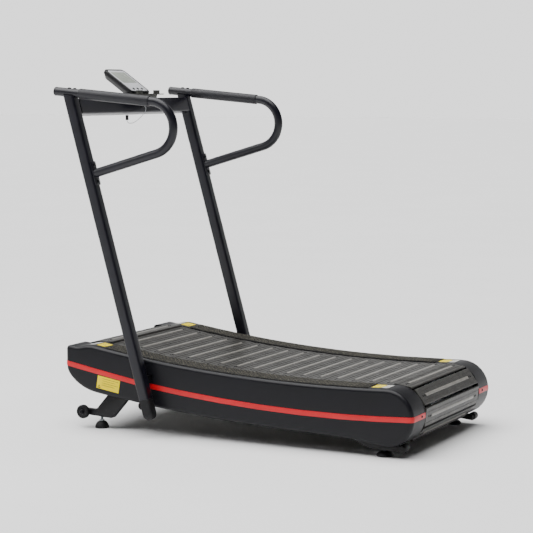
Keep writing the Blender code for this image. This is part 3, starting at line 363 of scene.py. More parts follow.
class Shape:
    """A mesh under construction, made of closed shells that each come from bmesh operators."""

    def __init__(self) -> None:
        """Starts an empty shape."""
        self.bm = bmesh.new()

    def _absorb(self, part: bmesh.types.BMesh, place: Matrix, bevel: float, segments: int,
                angle: float = 35.0,
                closed: bool = True) -> "Shape":
        """Rounds a shell's sharp edges, puts it in place and adds it.

        Args:
            part: The shell, which is used up.
            place: Where it goes.
            bevel: Width of the rounding, or 0 for none.
            segments: Segments across the rounding.
            angle: Edges sharper than this many degrees are rounded.
            closed: Whether the shell is closed, so that its normals can be turned outwards.

        Returns:
            The shape itself.
        """
        if bevel:
            sharp = [e for e in part.edges if len(e.link_faces) == 2
                     and e.calc_face_angle() > math.radians(angle)]
            bmesh.ops.bevel(part, geom=sharp, offset=bevel, offset_type="OFFSET", segments=segments,
                            profile=0.5,
                            affect="EDGES", material=-1, clamp_overlap=True)
        if closed:
            bmesh.ops.recalc_face_normals(part, faces=part.faces)
        mesh = bpy.data.meshes.new("shell")
        part.to_mesh(mesh)
        part.free()
        mesh.transform(place)
        if place.determinant() < 0:
            mesh.flip_normals()
        self.bm.from_mesh(mesh)
        bpy.data.meshes.remove(mesh)
        return self

    def block(self, low: Sequence[float], high: Sequence[float], bevel: float = 0.0, segments: int = 2,
              place: Matrix = Matrix()) -> "Shape":
        """Adds a box between two corners.

        Args:
            low: Its lowest corner.
            high: Its highest corner.
            bevel: Width of the rounded edges.
            segments: Faces round an edge or a turn.
            place: Where the shape goes.

        Returns:
            This shape.
        """
        part = bmesh.new()
        size = Vector(high) - Vector(low)
        middle = (Vector(high) + Vector(low)) / 2
        bmesh.ops.create_cube(part, size=1.0,
                              matrix=Matrix.Translation(middle) @ Matrix.Diagonal((*size, 1.0)))
        return self._absorb(part, place, bevel, segments)

    def rod(self, centre: Sequence[float], axis: Sequence[float], radius: float, length: float,
            segments: int = 24,
            bevel: float = 0.0, steps: int = 2) -> "Shape":
        """Adds a cylinder or prism along an axis, centred on a point.

        Args:
            centre: Its middle.
            axis: The way that it points.
            radius: Its radius.
            length: Its length.
            segments: Faces round an edge or a turn.
            bevel: Width of the rounded edges.
            steps: Faces round a bevelled edge.

        Returns:
            This shape.
        """
        part = bmesh.new()
        bmesh.ops.create_cone(part, cap_ends=True, segments=segments, radius1=radius, radius2=radius,
                              depth=length)
        return self._absorb(part, aligned(centre, axis), bevel, steps, 50.0)

    def lathe(self, profile: Sequence[Point2], centre: Sequence[float], axis: Sequence[float],
              segments: int = 48,
              ring: bool = False) -> "Shape":
        """Turns a profile of (radius, height) points about an axis.

        Args:
            profile: The points, from end to end.
            centre: Where height 0 is.
            axis: The direction of height.
            segments: Steps round the axis.
            ring: Whether the profile closes on itself instead of ending on the axis.

        Returns:
            The shape itself.
        """
        part = bmesh.new()
        verts = [part.verts.new((radius, 0.0, height)) for radius, height in profile]
        pairs = list(zip(verts, verts[1:])) + ([(verts[-1], verts[0])] if ring else [])
        edges = [part.edges.new(pair) for pair in pairs]
        bmesh.ops.spin(part, geom=[*verts, *edges], cent=(0, 0, 0), axis=(0, 0, 1), dvec=(0, 0, 0),
                       angle=2 * math.pi, steps=segments, use_merge=True, use_duplicate=False)
        bmesh.ops.remove_doubles(part, verts=part.verts, dist=1e-6)
        return self._absorb(part, aligned(centre, axis), 0.0, 0)

    def plate(self, outline: Sequence[Sequence[float]], depth: float, place: Matrix, bevel: float = 0.0,
              segments: int = 2, angle: float = 35.0) -> "Shape":
        """Adds a flat outline drawn out along its own Z.

        Args:
            outline: Corners of the flat face.
            depth: How far it is drawn out.
            place: Where the shape goes.
            bevel: Width of the rounded edges.
            segments: Faces round an edge or a turn.
            angle: Least angle in degrees of an edge that is rounded.

        Returns:
            This shape.
        """
        part = bmesh.new()
        face = part.faces.new([part.verts.new((p[0], p[1], 0.0)) for p in outline])
        drawn = bmesh.ops.extrude_face_region(part, geom=[face])["geom"]
        bmesh.ops.translate(part, vec=(0, 0, depth),
                            verts=[v for v in drawn if isinstance(v, bmesh.types.BMVert)])
        return self._absorb(part, place, bevel, segments, angle)

    def loft(self, rings: Iterable[Sequence[Sequence[float]]], place: Matrix = Matrix()) -> "Shape":
        """Adds a solid skinned through closed rings of matching points, capped at both ends.

        Args:
            rings: Rings of points, from one end to the other.
            place: Where the shape goes.

        Returns:
            This shape.
        """
        part = bmesh.new()
        loops = []
        for ring in rings:
            verts = [part.verts.new(point) for point in ring]
            loops.append([part.edges.new(pair) for pair in zip(verts, verts[1:] + verts[:1])])
        for near, far in zip(loops, loops[1:]):
            bmesh.ops.bridge_loops(part, edges=near + far)
        for loop in (loops[0], loops[-1]):
            bmesh.ops.contextual_create(part, geom=loop)
        return self._absorb(part, place, 0.0, 0)

    def bar(self, half: Point2, corner: float, start: Sequence[float], end: Sequence[float],
            place: Matrix = Matrix()) -> "Shape":
        """Adds a straight length of tube with rounded corners, of (X half, Y half) section before its place.

        Args:
            half: Half of its size in X and Y.
            corner: Radius of its corners.
            start: Middle of its first end.
            end: Middle of its other end.
            place: Where the shape goes.

        Returns:
            This shape.
        """
        part = bmesh.new()
        size = Matrix.Diagonal((2 * half[0], 2 * half[1], 1.0, 1.0))
        bmesh.ops.create_cube(part, size=1.0, matrix=Matrix.Translation((0, 0, 0.5)) @ size)
        long_edges = [e for e in part.edges if abs(e.verts[0].co.z - e.verts[1].co.z) > 0.5]
        bmesh.ops.bevel(part, geom=long_edges, offset=corner, offset_type="OFFSET", segments=6, profile=0.5,
                        affect="EDGES", material=-1)
        run = Vector(end) - Vector(start)
        skew = Matrix(((1, 0, run.x, start[0]), (0, 1, run.y, start[1]), (0, 0, run.z, start[2]),
                       (0, 0, 0, 1)))
        return self._absorb(part, place @ skew, 0.0, 0)

    def join(self, other: "Shape | bpy.types.Mesh", places: Iterable[Matrix] = (Matrix(),)) -> "Shape":
        """Adds copies of another shape or mesh, one at each place.

        Args:
            other: What is copied.
            places: Where each copy goes.

        Returns:
            This shape.
        """
        source = other
        if isinstance(other, Shape):
            source = bpy.data.meshes.new("template")
            other.bm.to_mesh(source)
        for place in places:
            copy = source.copy()
            copy.transform(place)
            self.bm.from_mesh(copy)
            bpy.data.meshes.remove(copy)
        return self

    def carve(self, *cutters: "Shape") -> "Shape":
        """Cuts other shapes out of this one.

        Args:
            cutters: Shapes that are taken away.

        Returns:
            This shape.
        """
        scene = bpy.context.scene.collection
        work = bpy.data.objects.new("work", bpy.data.meshes.new("work"))
        self.bm.to_mesh(work.data)
        scene.objects.link(work)
        made = []
        for cutter in cutters:
            tool = bpy.data.objects.new("tool", bpy.data.meshes.new("tool"))
            cutter.bm.to_mesh(tool.data)
            scene.objects.link(tool)
            made.append(tool)
            cut = work.modifiers.new("cut", "BOOLEAN")
            cut.operation = "DIFFERENCE"
            cut.solver = "EXACT"
            cut.object = tool
        mesh = bpy.data.meshes.new_from_object(work.evaluated_get(bpy.context.evaluated_depsgraph_get()))
        self.bm.clear()
        self.bm.from_mesh(mesh)
        for helper in (work, *made):
            bpy.data.objects.remove(helper)
        bpy.data.meshes.remove(mesh)
        return self

    def piece(self, name: str, finish: Finish, body: str, slot: str, replaces: Sequence[str] = (),
              smooth: float = 35.0) -> bpy.types.Object:
        """Ends the shape as an object that rides on a body.

        Args:
            name: The object's name.
            finish: What its surface is.
            body: The body that it moves with.
            slot: Not used.
            replaces: CAD nodes that it stands for.
            smooth: Edges sharper than this many degrees stay sharp.

        Returns:
            The object.
        """
        mesh = bpy.data.meshes.new(name)
        self.bm.to_mesh(mesh)
        self.bm.free()
        mesh.materials.clear()
        mesh.materials.append(finish.material())
        mesh.polygons.foreach_set("material_index", [0] * len(mesh.polygons))
        mesh.shade_smooth()
        mesh.set_sharp_from_angle(angle=math.radians(smooth))
        made = bpy.data.objects.new(name, mesh)
        bpy.context.scene.collection.objects.link(made)
        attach(made, body)
        if replaces:
            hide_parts(*replaces)
        LOG.info("%s: %d faces on %s", name, len(mesh.polygons), body)
        return made


def softened(node: str, width: float, segments: int = 2, angle: float = 40.0) -> Shape:
    """A copy of a CAD node with its sharp edges rounded.

    Args:
        node: The CAD node.
        width: Width of the rounding.
        segments: Segments across the rounding.
        angle: Edges sharper than this many degrees are rounded.

    Returns:
        The copy as a shape.
    """
    shape = Shape()
    part = bmesh.new()
    part.from_mesh(frame["nodes"][node].data)
    bmesh.ops.remove_doubles(part, verts=part.verts, dist=2e-6)
    bmesh.ops.dissolve_limit(part, angle_limit=math.radians(1.0), verts=part.verts, edges=part.edges)
    shape._absorb(part, Matrix(), width, segments, angle)
    return shape


def button_head(radius: float, height: float) -> Shape:
    """A button-head screw with a hexagon socket, standing on Z = 0.

    Args:
        radius: Its radius.
        height: Its height.

    Returns:
        The screw.
    """
    head = Shape().lathe([(0.0, 0.0), (radius, 0.0), (radius, 0.25 * height), (0.86 * radius, 0.68 * height),
                          (0.62 * radius, 0.92 * height), (0.45 * radius, height), (0.0, height)],
                         (0, 0, 0), (0, 0, 1), 20)
    socket = Shape().rod((0, 0, height), (0, 0, 1), 0.42 * radius, height, 6)
    return head.carve(socket)


def joint_axis(name: str) -> Vector:
    """The point that a joint turns about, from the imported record."""
    return Vector(next(joint["pos_m"] for joint in frame["joints"] if joint["name"] == name))


# ---- running deck ----------------------------------------------------------------------------------
@dataclass(frozen=True)
class DeckArc:
    """The concave arc of the running surface."""

    radius: float = 5.8
    low_x: float = 0.372
    low_z: float = 0.234

    def height(self, x: float) -> float:
        """Height of the slats' top at an X."""
        return self.low_z + self.radius - math.sqrt(self.radius**2 - (x - self.low_x) ** 2)

    def centre(self) -> Vector:
        """The arc's centre as (x, z)."""
        return Vector((self.low_x, self.low_z + self.radius))

    def place(self, x: float, y: float, lift: float) -> Matrix:
        """A place on the deck, its X along the deck and its Z out of it.

        Args:
            x: Place along the machine.
            y: Place across the machine.
            lift: Height above the slats' top.

        Returns:
            The place as a matrix.
        """
        tilt = math.asin((x - self.low_x) / self.radius)
        normal = Vector((-math.sin(tilt), 0, math.cos(tilt)))
        return Matrix.Translation(Vector((x, y, self.height(x))) + normal * lift) @ Matrix.Rotation(-tilt, 4,
                                                                                                    "Y")


ARC = DeckArc()


@dataclass
class SlatBelt:
    """The endless belt: rubber-faced slats screwed to two toothed belts that run round the drums.

    Attributes:
        count: Slats in the loop.
        phase: Share of a pitch from the front drum's top to the first slat's middle.
        half_length: Half of a slat's length, across the machine.
        half_width: Half of a slat's width, along the belt.
        thick: A slat's thickness.
        sink: How far a belt is let into the slats.
        belt_thick: Thickness of a carrier belt.
        belt_y: Inner and outer edge of a carrier belt.
        ridge_half: Half of the length of the bar along the middle of each slat, which stops short of the
            screws.
        ridge_height: Height of that bar.
        front_r: Radius of the slats' outer line round the front drum.
        rear_r: The same round the rear drum.
        screw_y: Distance of a slat's screws from the middle.
    """

    count: int = 43
    phase: float = 0.836
    half_length: float = 0.262
    half_width: float = 0.0325
    thick: float = 0.0092
    sink: float = 0.0012
    belt_thick: float = 0.005
    belt_y: Point2 = (0.185, 0.230)
    ridge_half: float = 0.208
    ridge_height: float = 0.0014
    front_r: float = 0.078
    rear_r: float = 0.100
    screw_y: Point2 = (0.2180, 0.2330)

    def _loop(self, inset: float, turn_steps: int = 60, run_steps: int = 120) -> list[Vector]:
        """The closed line that the belt follows.

        Args:
            inset: How far inside the slats' outer line it lies.
            turn_steps: Stations round each drum.
            run_steps: Stations along the running surface.

        Returns:
            Points of (x, z).
        """
        front = joint_axis("front_drum_spin").xz
        rear = joint_axis("rear_drum_spin").xz
        centre = ARC.centre()
        top_front = math.atan2(centre.y - front.y, centre.x - front.x)
        top_rear = math.atan2(centre.y - rear.y, centre.x - rear.x)
        line = rear - front
        low = math.atan2(line.y, line.x) - math.pi / 2 + math.asin((self.rear_r - self.front_r) / line.length)
        start = math.atan2(front.y - centre.y, front.x - centre.x)
        end = math.atan2(rear.y - centre.y, rear.x - centre.x)
        legs = ((centre, ARC.radius + inset, start, end, run_steps),
                (rear, self.rear_r - inset, top_rear, low, turn_steps + 1),
                (front, self.front_r - inset, low, top_front - 2 * math.pi, turn_steps))
        points = []
        for middle, radius, first, last, steps in legs:
            spans = turn_steps if steps != run_steps else run_steps
            for i in range(steps):
                angle = first + (last - first) * i / spans
                points.append(middle + radius * Vector((math.cos(angle), math.sin(angle))))
        return points

    def places(self) -> list[Matrix]:
        """Where each slat is: X along the belt, Z outwards, the origin on the slat's outer face.

        Returns:
            One matrix for each slat.
        """
        lift = self.thick - self.sink + self.belt_thick / 2
        ring = self._loop(lift)
        ring.append(ring[0])
        lengths = [(b - a).length for a, b in zip(ring, ring[1:])]
        found = []
        for i in range(self.count):
            left = sum(lengths) / self.count * (i + self.phase)
            k = 0
            while left > lengths[k]:
                left -= lengths[k]
                k += 1
            along = (ring[k + 1] - ring[k]) / lengths[k]
            out = Vector((-along.y, along.x))
            spot = ring[k] + along * left + out * lift
            found.append(Matrix(((along.x, 0, out.x, spot.x), (0, 1, 0, 0), (along.y, 0, out.y, spot.y),
                                 (0, 0, 0, 1))))
        return found

    def _slat(self) -> Shape:
        """The aluminium body of one slat, with its stiffening rib."""
        slat = Shape().block((-self.half_width, -self.half_length, -self.thick),
                             (self.half_width, self.half_length, -0.0012), 0.0008)
        return slat.block((-0.003, -0.168, -0.024), (0.003, 0.168, 0.0005 - self.thick), 0.0005)

    def _pad(self) -> Shape:
        """The rubber face of one slat, with a fine groove either side of the ridge.

        Returns:
            The pad.
        """
        edge, deep, level = self.half_width - 0.0006, -0.0011, -0.0001
        reach = self.half_length - 0.0004
        right = [(0.0165, level), (0.0172, deep), (0.0190, deep), (0.0197, level), (edge - 0.0012, level),
                 (edge, deep), (edge, -0.0016)]
        left = [(-u, w) for u, w in reversed(right)]
        return Shape().plate([*left, *right], 2 * reach, upright_plane(reach))

    def _ridge(self) -> Shape:
        """The rounded bar along the middle of one slat.

        Returns:
            The bar.
        """
        half, top = 0.0056, self.ridge_height
        section = [(half, -0.0012), (half, -0.0002)]
        section += [(half * math.cos(a), -0.0002 + (top + 0.0002) * math.sin(a))
                    for a in [math.radians(15 * i) for i in range(1, 12)]]
        section += [(-half, -0.0002), (-half, -0.0012)]
        return Shape().plate(section, 2 * self.ridge_half, upright_plane(self.ridge_half), 0.0004, 1)

    def _carrier(self) -> Shape:
        """Both carrier belts.

        Returns:
            The belts.
        """
        belts = Shape()
        outer = self._loop(self.thick - self.sink, 24, 40)
        inner = self._loop(self.thick - self.sink + self.belt_thick, 24, 40)
        for side in Side:
            part = bmesh.new()
            edges = []
            for line in (outer, inner):
                ring = [part.verts.new((p.x, side.value * self.belt_y[0], p.y)) for p in line]
                edges += [part.edges.new(pair) for pair in zip(ring, ring[1:] + ring[:1])]
            bmesh.ops.bridge_loops(part, edges=edges)
            drawn = bmesh.ops.extrude_face_region(part, geom=part.faces[:])["geom"]
            step = side.value * (self.belt_y[1] - self.belt_y[0])
            bmesh.ops.translate(part, vec=(0, step, 0),
                                verts=[v for v in drawn if isinstance(v, bmesh.types.BMVert)])
            belts._absorb(part, Matrix(), 0.0, 0)
        return belts

    def build(self) -> None:
        """Makes the slats, their pads, bars and screws, and the carrier belts."""
        places = self.places()
        Shape().join(self._slat(), places).piece("slat_bodies", SLAT_ALUMINIUM, "base", "slat", ["slat_belt"])
        Shape().join(self._pad(), places).piece("slat_pads", TREAD_RUBBER, "base", "slat", smooth=25)
        # The bars' pale colour is a painted highlight for the light on their rounded tops.
        Shape().join(self._ridge(), places).piece("slat_ridges", RIDGE_PAINTED_HIGHLIGHT, "base", "slat")
        screw = button_head(0.0036, 0.0016)
        spots = [place @ Matrix.Translation((0, sign * y, -0.0003)) for place in places for sign in (-1, 1)
                 for y in self.screw_y]
        Shape().join(screw, spots).piece("slat_screws", BLACK_OXIDE, "base", "steel")
        self._carrier().piece("carrier_belts", BLACK_RUBBER, "base", "rubber")


@dataclass
class FootRail:
    """The studded rubber sheet on top of each side cover that the runner steps on.

    Attributes:
        stud_pitch: Spacing of the studs along and across the rail.
        stud_half: Half length and half width of a stud's foot.
        stud_height: Height of a stud.
    """

    stud_pitch: Point2 = (0.0150, 0.0100)
    stud_half: Point2 = (0.0058, 0.0030)
    stud_height: float = 0.0011

    def _stud(self, half: Point2, base: float, top: float, lean: float) -> Shape:
        """One lozenge-shaped stud.

        Args:
            half: Half length and half width at its foot.
            base: Height of its foot.
            top: Height of its top.
            lean: Share of the foot's size that is left at the top.

        Returns:
            The stud.
        """
        part = bmesh.new()
        foot = [(half[0], 0), (half[0] * 0.3, half[1]), (-half[0] * 0.3, half[1]), (-half[0], 0),
                (-half[0] * 0.3, -half[1]), (half[0] * 0.3, -half[1])]
        face = part.faces.new([part.verts.new((x, y, base)) for x, y in foot])
        drawn = bmesh.ops.extrude_face_region(part, geom=[face])["geom"]
        verts = [v for v in drawn if isinstance(v, bmesh.types.BMVert)]
        bmesh.ops.scale(part, vec=(lean, lean, 1.0), verts=verts)
        bmesh.ops.translate(part, vec=(0, 0, top - base), verts=verts)
        return Shape()._absorb(part, Matrix(), 0.0, 0)

    def build(self, side: Side) -> None:
        """Makes one side's sheet and its studs.

        Args:
            side: Its side.
        """
        node = "step_strip_" + side.tag
        low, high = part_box(node)
        softened(node, 0.0005, 1).piece("foot_rail_" + side.tag, STUD_RUBBER, "base", "step_grit", [node])
        rows = int((high.y - low.y - 0.008) / self.stud_pitch[1])
        columns = int((high.x - low.x - 0.016) / self.stud_pitch[0])
        first_y = (low.y + high.y) / 2 - self.stud_pitch[1] * (rows - 1) / 2
        spots = []
        for row in range(rows):
            for column in range(columns):
                x = low.x + 0.012 + self.stud_pitch[0] * (column + 0.5 * (row % 2))
                spots.append(ARC.place(x, first_y + self.stud_pitch[1] * row, 0.0))
        sheet_top = 0.0008 + 0.0003 + 0.0015
        body = self._stud(self.stud_half, sheet_top - 0.0003, sheet_top + 0.7 * self.stud_height, 0.75)
        cap = self._stud((self.stud_half[0] * 0.74, self.stud_half[1] * 0.74),
                         sheet_top + 0.6 * self.stud_height,
                         sheet_top + self.stud_height, 0.8)
        Shape().join(body, spots).piece("foot_rail_studs_" + side.tag, STUD_RUBBER, "base", "step_grit")
        Shape().join(cap, spots).piece("foot_rail_stud_tops_" + side.tag, STUD_TOP, "base", "step_grit")


# ---- side covers -----------------------------------------------------------------------------------
@dataclass
class SideCover:
    """The moulded shell over a rail, its red trim and its labels.

    Attributes:
        inner_y: Where the shell starts beside the slats.
        outer_y: Its outer face.
        wall: Thickness of the moulding.
        corner: Radius of the rounding between its face and its rim.
        lip_y: How far out the openings in its underside reach.
        trim_height: Height of the red trim.
        trim_proud: How far the trim stands out.
    """

    inner_y: float = 0.267
    outer_y: float = 0.380
    wall: float = 0.003
    corner: float = 0.014
    lip_y: float = 0.356
    trim_height: float = 0.0186
    trim_proud: float = 0.0013
    trim_line: Sequence[Point2] = ((-0.720, 0.2490), (-0.626, 0.2320), (-0.497, 0.2090), (-0.348, 0.1840),
                                   (-0.203, 0.1665), (-0.040, 0.1510), (0.120, 0.1402), (0.277, 0.1340),
                                   (0.430, 0.1325), (0.560, 0.1350), (0.720, 0.1420))

    def outline(self) -> list[Vector]:
        """The rim of the cover as (x, z) points.

        Returns:
            Points in order round the rim.
        """
        top = [Vector((x, ARC.height(x) + 0.0008)) for x in [-0.575 + 1.165 * i / 40 for i in range(41)]]
        axis = joint_axis("rear_drum_spin").xz
        turns = [math.radians(87 - 176 * i / 30) for i in range(31)]
        rear = [axis + 0.1 * Vector((math.cos(a), math.sin(a))) for a in turns]
        low = [(0.560, 0.0440), (0.490, 0.0530), (0.392, 0.0600), (0.238, 0.0655), (0.081, 0.0730),
               (-0.080, 0.0825),
               (-0.203, 0.0935), (-0.298, 0.1030), (-0.391, 0.1150), (-0.470, 0.1255), (-0.530, 0.1330),
               (-0.580, 0.1420), (-0.613, 0.1540), (-0.641, 0.1700), (-0.664, 0.1900), (-0.680, 0.2120),
               (-0.685, 0.2350)]
        nose = [(-0.685, 0.2960), (-0.680, 0.3050), (-0.670, 0.3078), (-0.657, 0.3070), (-0.642, 0.3045),
                (-0.626, 0.3050), (-0.603, 0.3108)]
        return [*top, *rear, *smooth_line(low, 3), *(Vector(p) for p in nose)]

    def _moved(self, grow: float) -> list[Vector]:
        """The rim moved outwards by an amount, or inwards by a negative one.

        Args:
            grow: How far the rim moves.

        Returns:
            Points in order round the moved rim.
        """
        line = self.outline()
        found = []
        for before, point, after in zip([line[-1], *line], line, [*line[1:], line[0]]):
            first, second = (point - before).normalized(), (after - point).normalized()
            mean = first + second
            out = Vector((-mean.y, mean.x)).normalized()
            found.append(point + out * grow / max(0.6, out.dot(Vector((-first.y, first.x)))))
        return found

    def _solid(self, side: Side, grow: float, inner_y: float) -> Shape:
        """The whole rounded form of the cover.

        Args:
            side: Its side.
            grow: How far it is grown outwards.
            inner_y: Where it starts beside the slats.

        Returns:
            The form as a closed solid.
        """
        face_y, radius = self.outer_y + grow, self.corner + grow
        levels = [(inner_y, grow)]
        for i in range(9):
            angle = math.radians(90 * i / 8)
            levels.append((face_y - radius + radius * math.sin(angle), grow - radius * (1 - math.cos(angle))))
        return Shape().loft([[(p.x, side.value * y, p.y) for p in self._moved(inset)] for y, inset in levels])

    def _shell(self, side: Side) -> Shape:
        """The moulding, open towards the slats and under the rail.

        Args:
            side: Its side.

        Returns:
            The moulding.
        """
        shell = self._solid(side, 0.0, self.inner_y)
        hollow = self._solid(side, -self.wall, self.inner_y - 0.010)
        near, far = sorted((side.value * 0.20, side.value * self.lip_y))
        under = Shape().block((-0.200, near, 0.020), (0.628, far, 0.100))
        front = Shape().plate([(-0.630, 0.080), (-0.190, 0.060), (-0.190, 0.125), (-0.520, 0.160),
                               (-0.630, 0.178)],
                              far - near, upright_plane(far))
        low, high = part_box("upright_mount_" + side.tag)
        mount = Shape().block((low.x - 0.001, low.y, low.z - 0.001), (high.x + 0.001, high.y, high.z + 0.001))
        return shell.carve(hollow, under, front, mount)

    def _trim_height_at(self, x: float) -> float:
        """Height of the trim's middle at an X."""
        for (x0, z0), (x1, z1) in zip(self.trim_line, self.trim_line[1:]):
            if x <= x1:
                return z0 + (z1 - z0) * (x - x0) / (x1 - x0)
        return self.trim_line[-1][1]

    def _trim(self, side: Side) -> Shape:
        """The red trim, wrapped round both ends of the cover.

        Args:
            side: Its side.

        Returns:
            The trim.
        """
        low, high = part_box("side_cover_" + side.tag)
        radius = self.corner
        mid = self.outer_y - radius
        path = [(low.x, self.inner_y + 0.001), (low.x, mid)]
        turns = [math.radians(15 * i) for i in range(1, 6)]
        path += [(low.x + radius - radius * math.cos(a), mid + radius * math.sin(a)) for a in turns]
        path += [(low.x + radius + (high.x - low.x - 2 * radius) * i / 60, self.outer_y) for i in range(61)]
        path += [(high.x - radius + radius * math.sin(a), mid + radius * math.cos(a)) for a in turns]
        path += [(high.x, mid), (high.x, self.inner_y + 0.001)]
        line = [Vector(p) for p in path]
        part = bmesh.new()
        bmesh.ops.create_grid(part, x_segments=len(line) - 1, y_segments=4, size=1.0)
        for vert in part.verts:
            k = round((vert.co.x + 1) / 2 * (len(line) - 1))
            before, after = line[max(k - 1, 0)], line[min(k + 1, len(line) - 1)]
            along = (after - before).normalized()
            out = Vector((-along.y, along.x)) * (self.trim_proud * (1 - 0.45 * vert.co.y**4))
            spot = line[k] + out
            height = self._trim_height_at(spot.x) + vert.co.y * self.trim_height / 2
            if spot.x > 0.68:
                spot.x -= 0.1 - math.sqrt(0.01 - (height - joint_axis("rear_drum_spin").z) ** 2)
            vert.co = (spot.x, side.value * spot.y, height)
        bmesh.ops.recalc_face_normals(part, faces=part.faces)
        if sum(f.normal.y for f in part.faces) * side.value < 0:
            bmesh.ops.reverse_faces(part, faces=part.faces)
        bmesh.ops.solidify(part, geom=part.faces, thickness=0.0016)
        return Shape()._absorb(part, Matrix(), 0.0, 0)

    def build(self, side: Side) -> None:
        """Makes one side's cover, trim and screws.

        Args:
            side: Its side.
        """
        self._shell(side).piece("cover_shell_" + side.tag, MOULDED_ABS, "base", "cover_shell",
                                ["side_cover_" + side.tag], 30)
        self._trim(side).piece("red_trim_" + side.tag, RED_TRIM, "base", "stripe",
                               ["trim_stripe_" + side.tag], 40)
        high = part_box("side_cover_" + side.tag)[1]
        spot = Vector((high.x + 0.0008, side.value * 0.300, self._trim_height_at(high.x)))
        Shape().join(button_head(0.0050, 0.0022), [aligned(spot, (1, 0, 0))]).piece(
            "cover_screw_" + side.tag, BLACK_OXIDE, "base", "steel")


@dataclass
class Label:
    """A vinyl label with a warning triangle and thin bars where its small print would be."""

    size: Point2
    place: Matrix
    tag: str
    paper: Finish = YELLOW_VINYL
    thick: float = 0.0004

    def build(self) -> None:
        """Makes the label and its print."""
        half_x, half_y = self.size[0] / 2, self.size[1] / 2
        Shape().block((-half_x, -half_y, 0), (half_x, half_y, self.thick), 0.0002, 1, self.place).piece(
            "label_" + self.tag, self.paper, "base", "stripe")
        ink = Shape()
        rim, top = self.thick, self.thick + 0.0001
        size = min(half_y * 0.36, half_x * 0.30)
        left, low = size * 1.3 - half_x, size * 0.9 - half_y
        triangle = [(left - size * 0.8, low - size * 0.62), (left + size * 0.8, low - size * 0.62),
                    (left, low + size * 0.76)]
        inside = [(left + (x - left) * 0.5, low + (y - low) * 0.5 - size * 0.05) for x, y in triangle]
        body = Shape().plate(triangle, top - rim + 0.0001,
                             self.place @ Matrix.Translation((0, 0, rim - 0.0001)))
        hole = Shape().plate(inside, 0.004, self.place @ Matrix.Translation((0, 0, rim - 0.002)))
        ink.join(body.carve(hole))
        for row in range(4):
            y = half_y * (0.66 - 0.34 * row)
            end = half_x * (0.86 if row % 2 == 0 else 0.60)
            ink.block((left + size * 1.3, y - half_y * 0.025, rim - 0.0001), (end, y + half_y * 0.025, top),
                      0.0, 1,
                      self.place)
        ink.piece("label_print_" + self.tag, LABEL_INK, "base", "stripe")


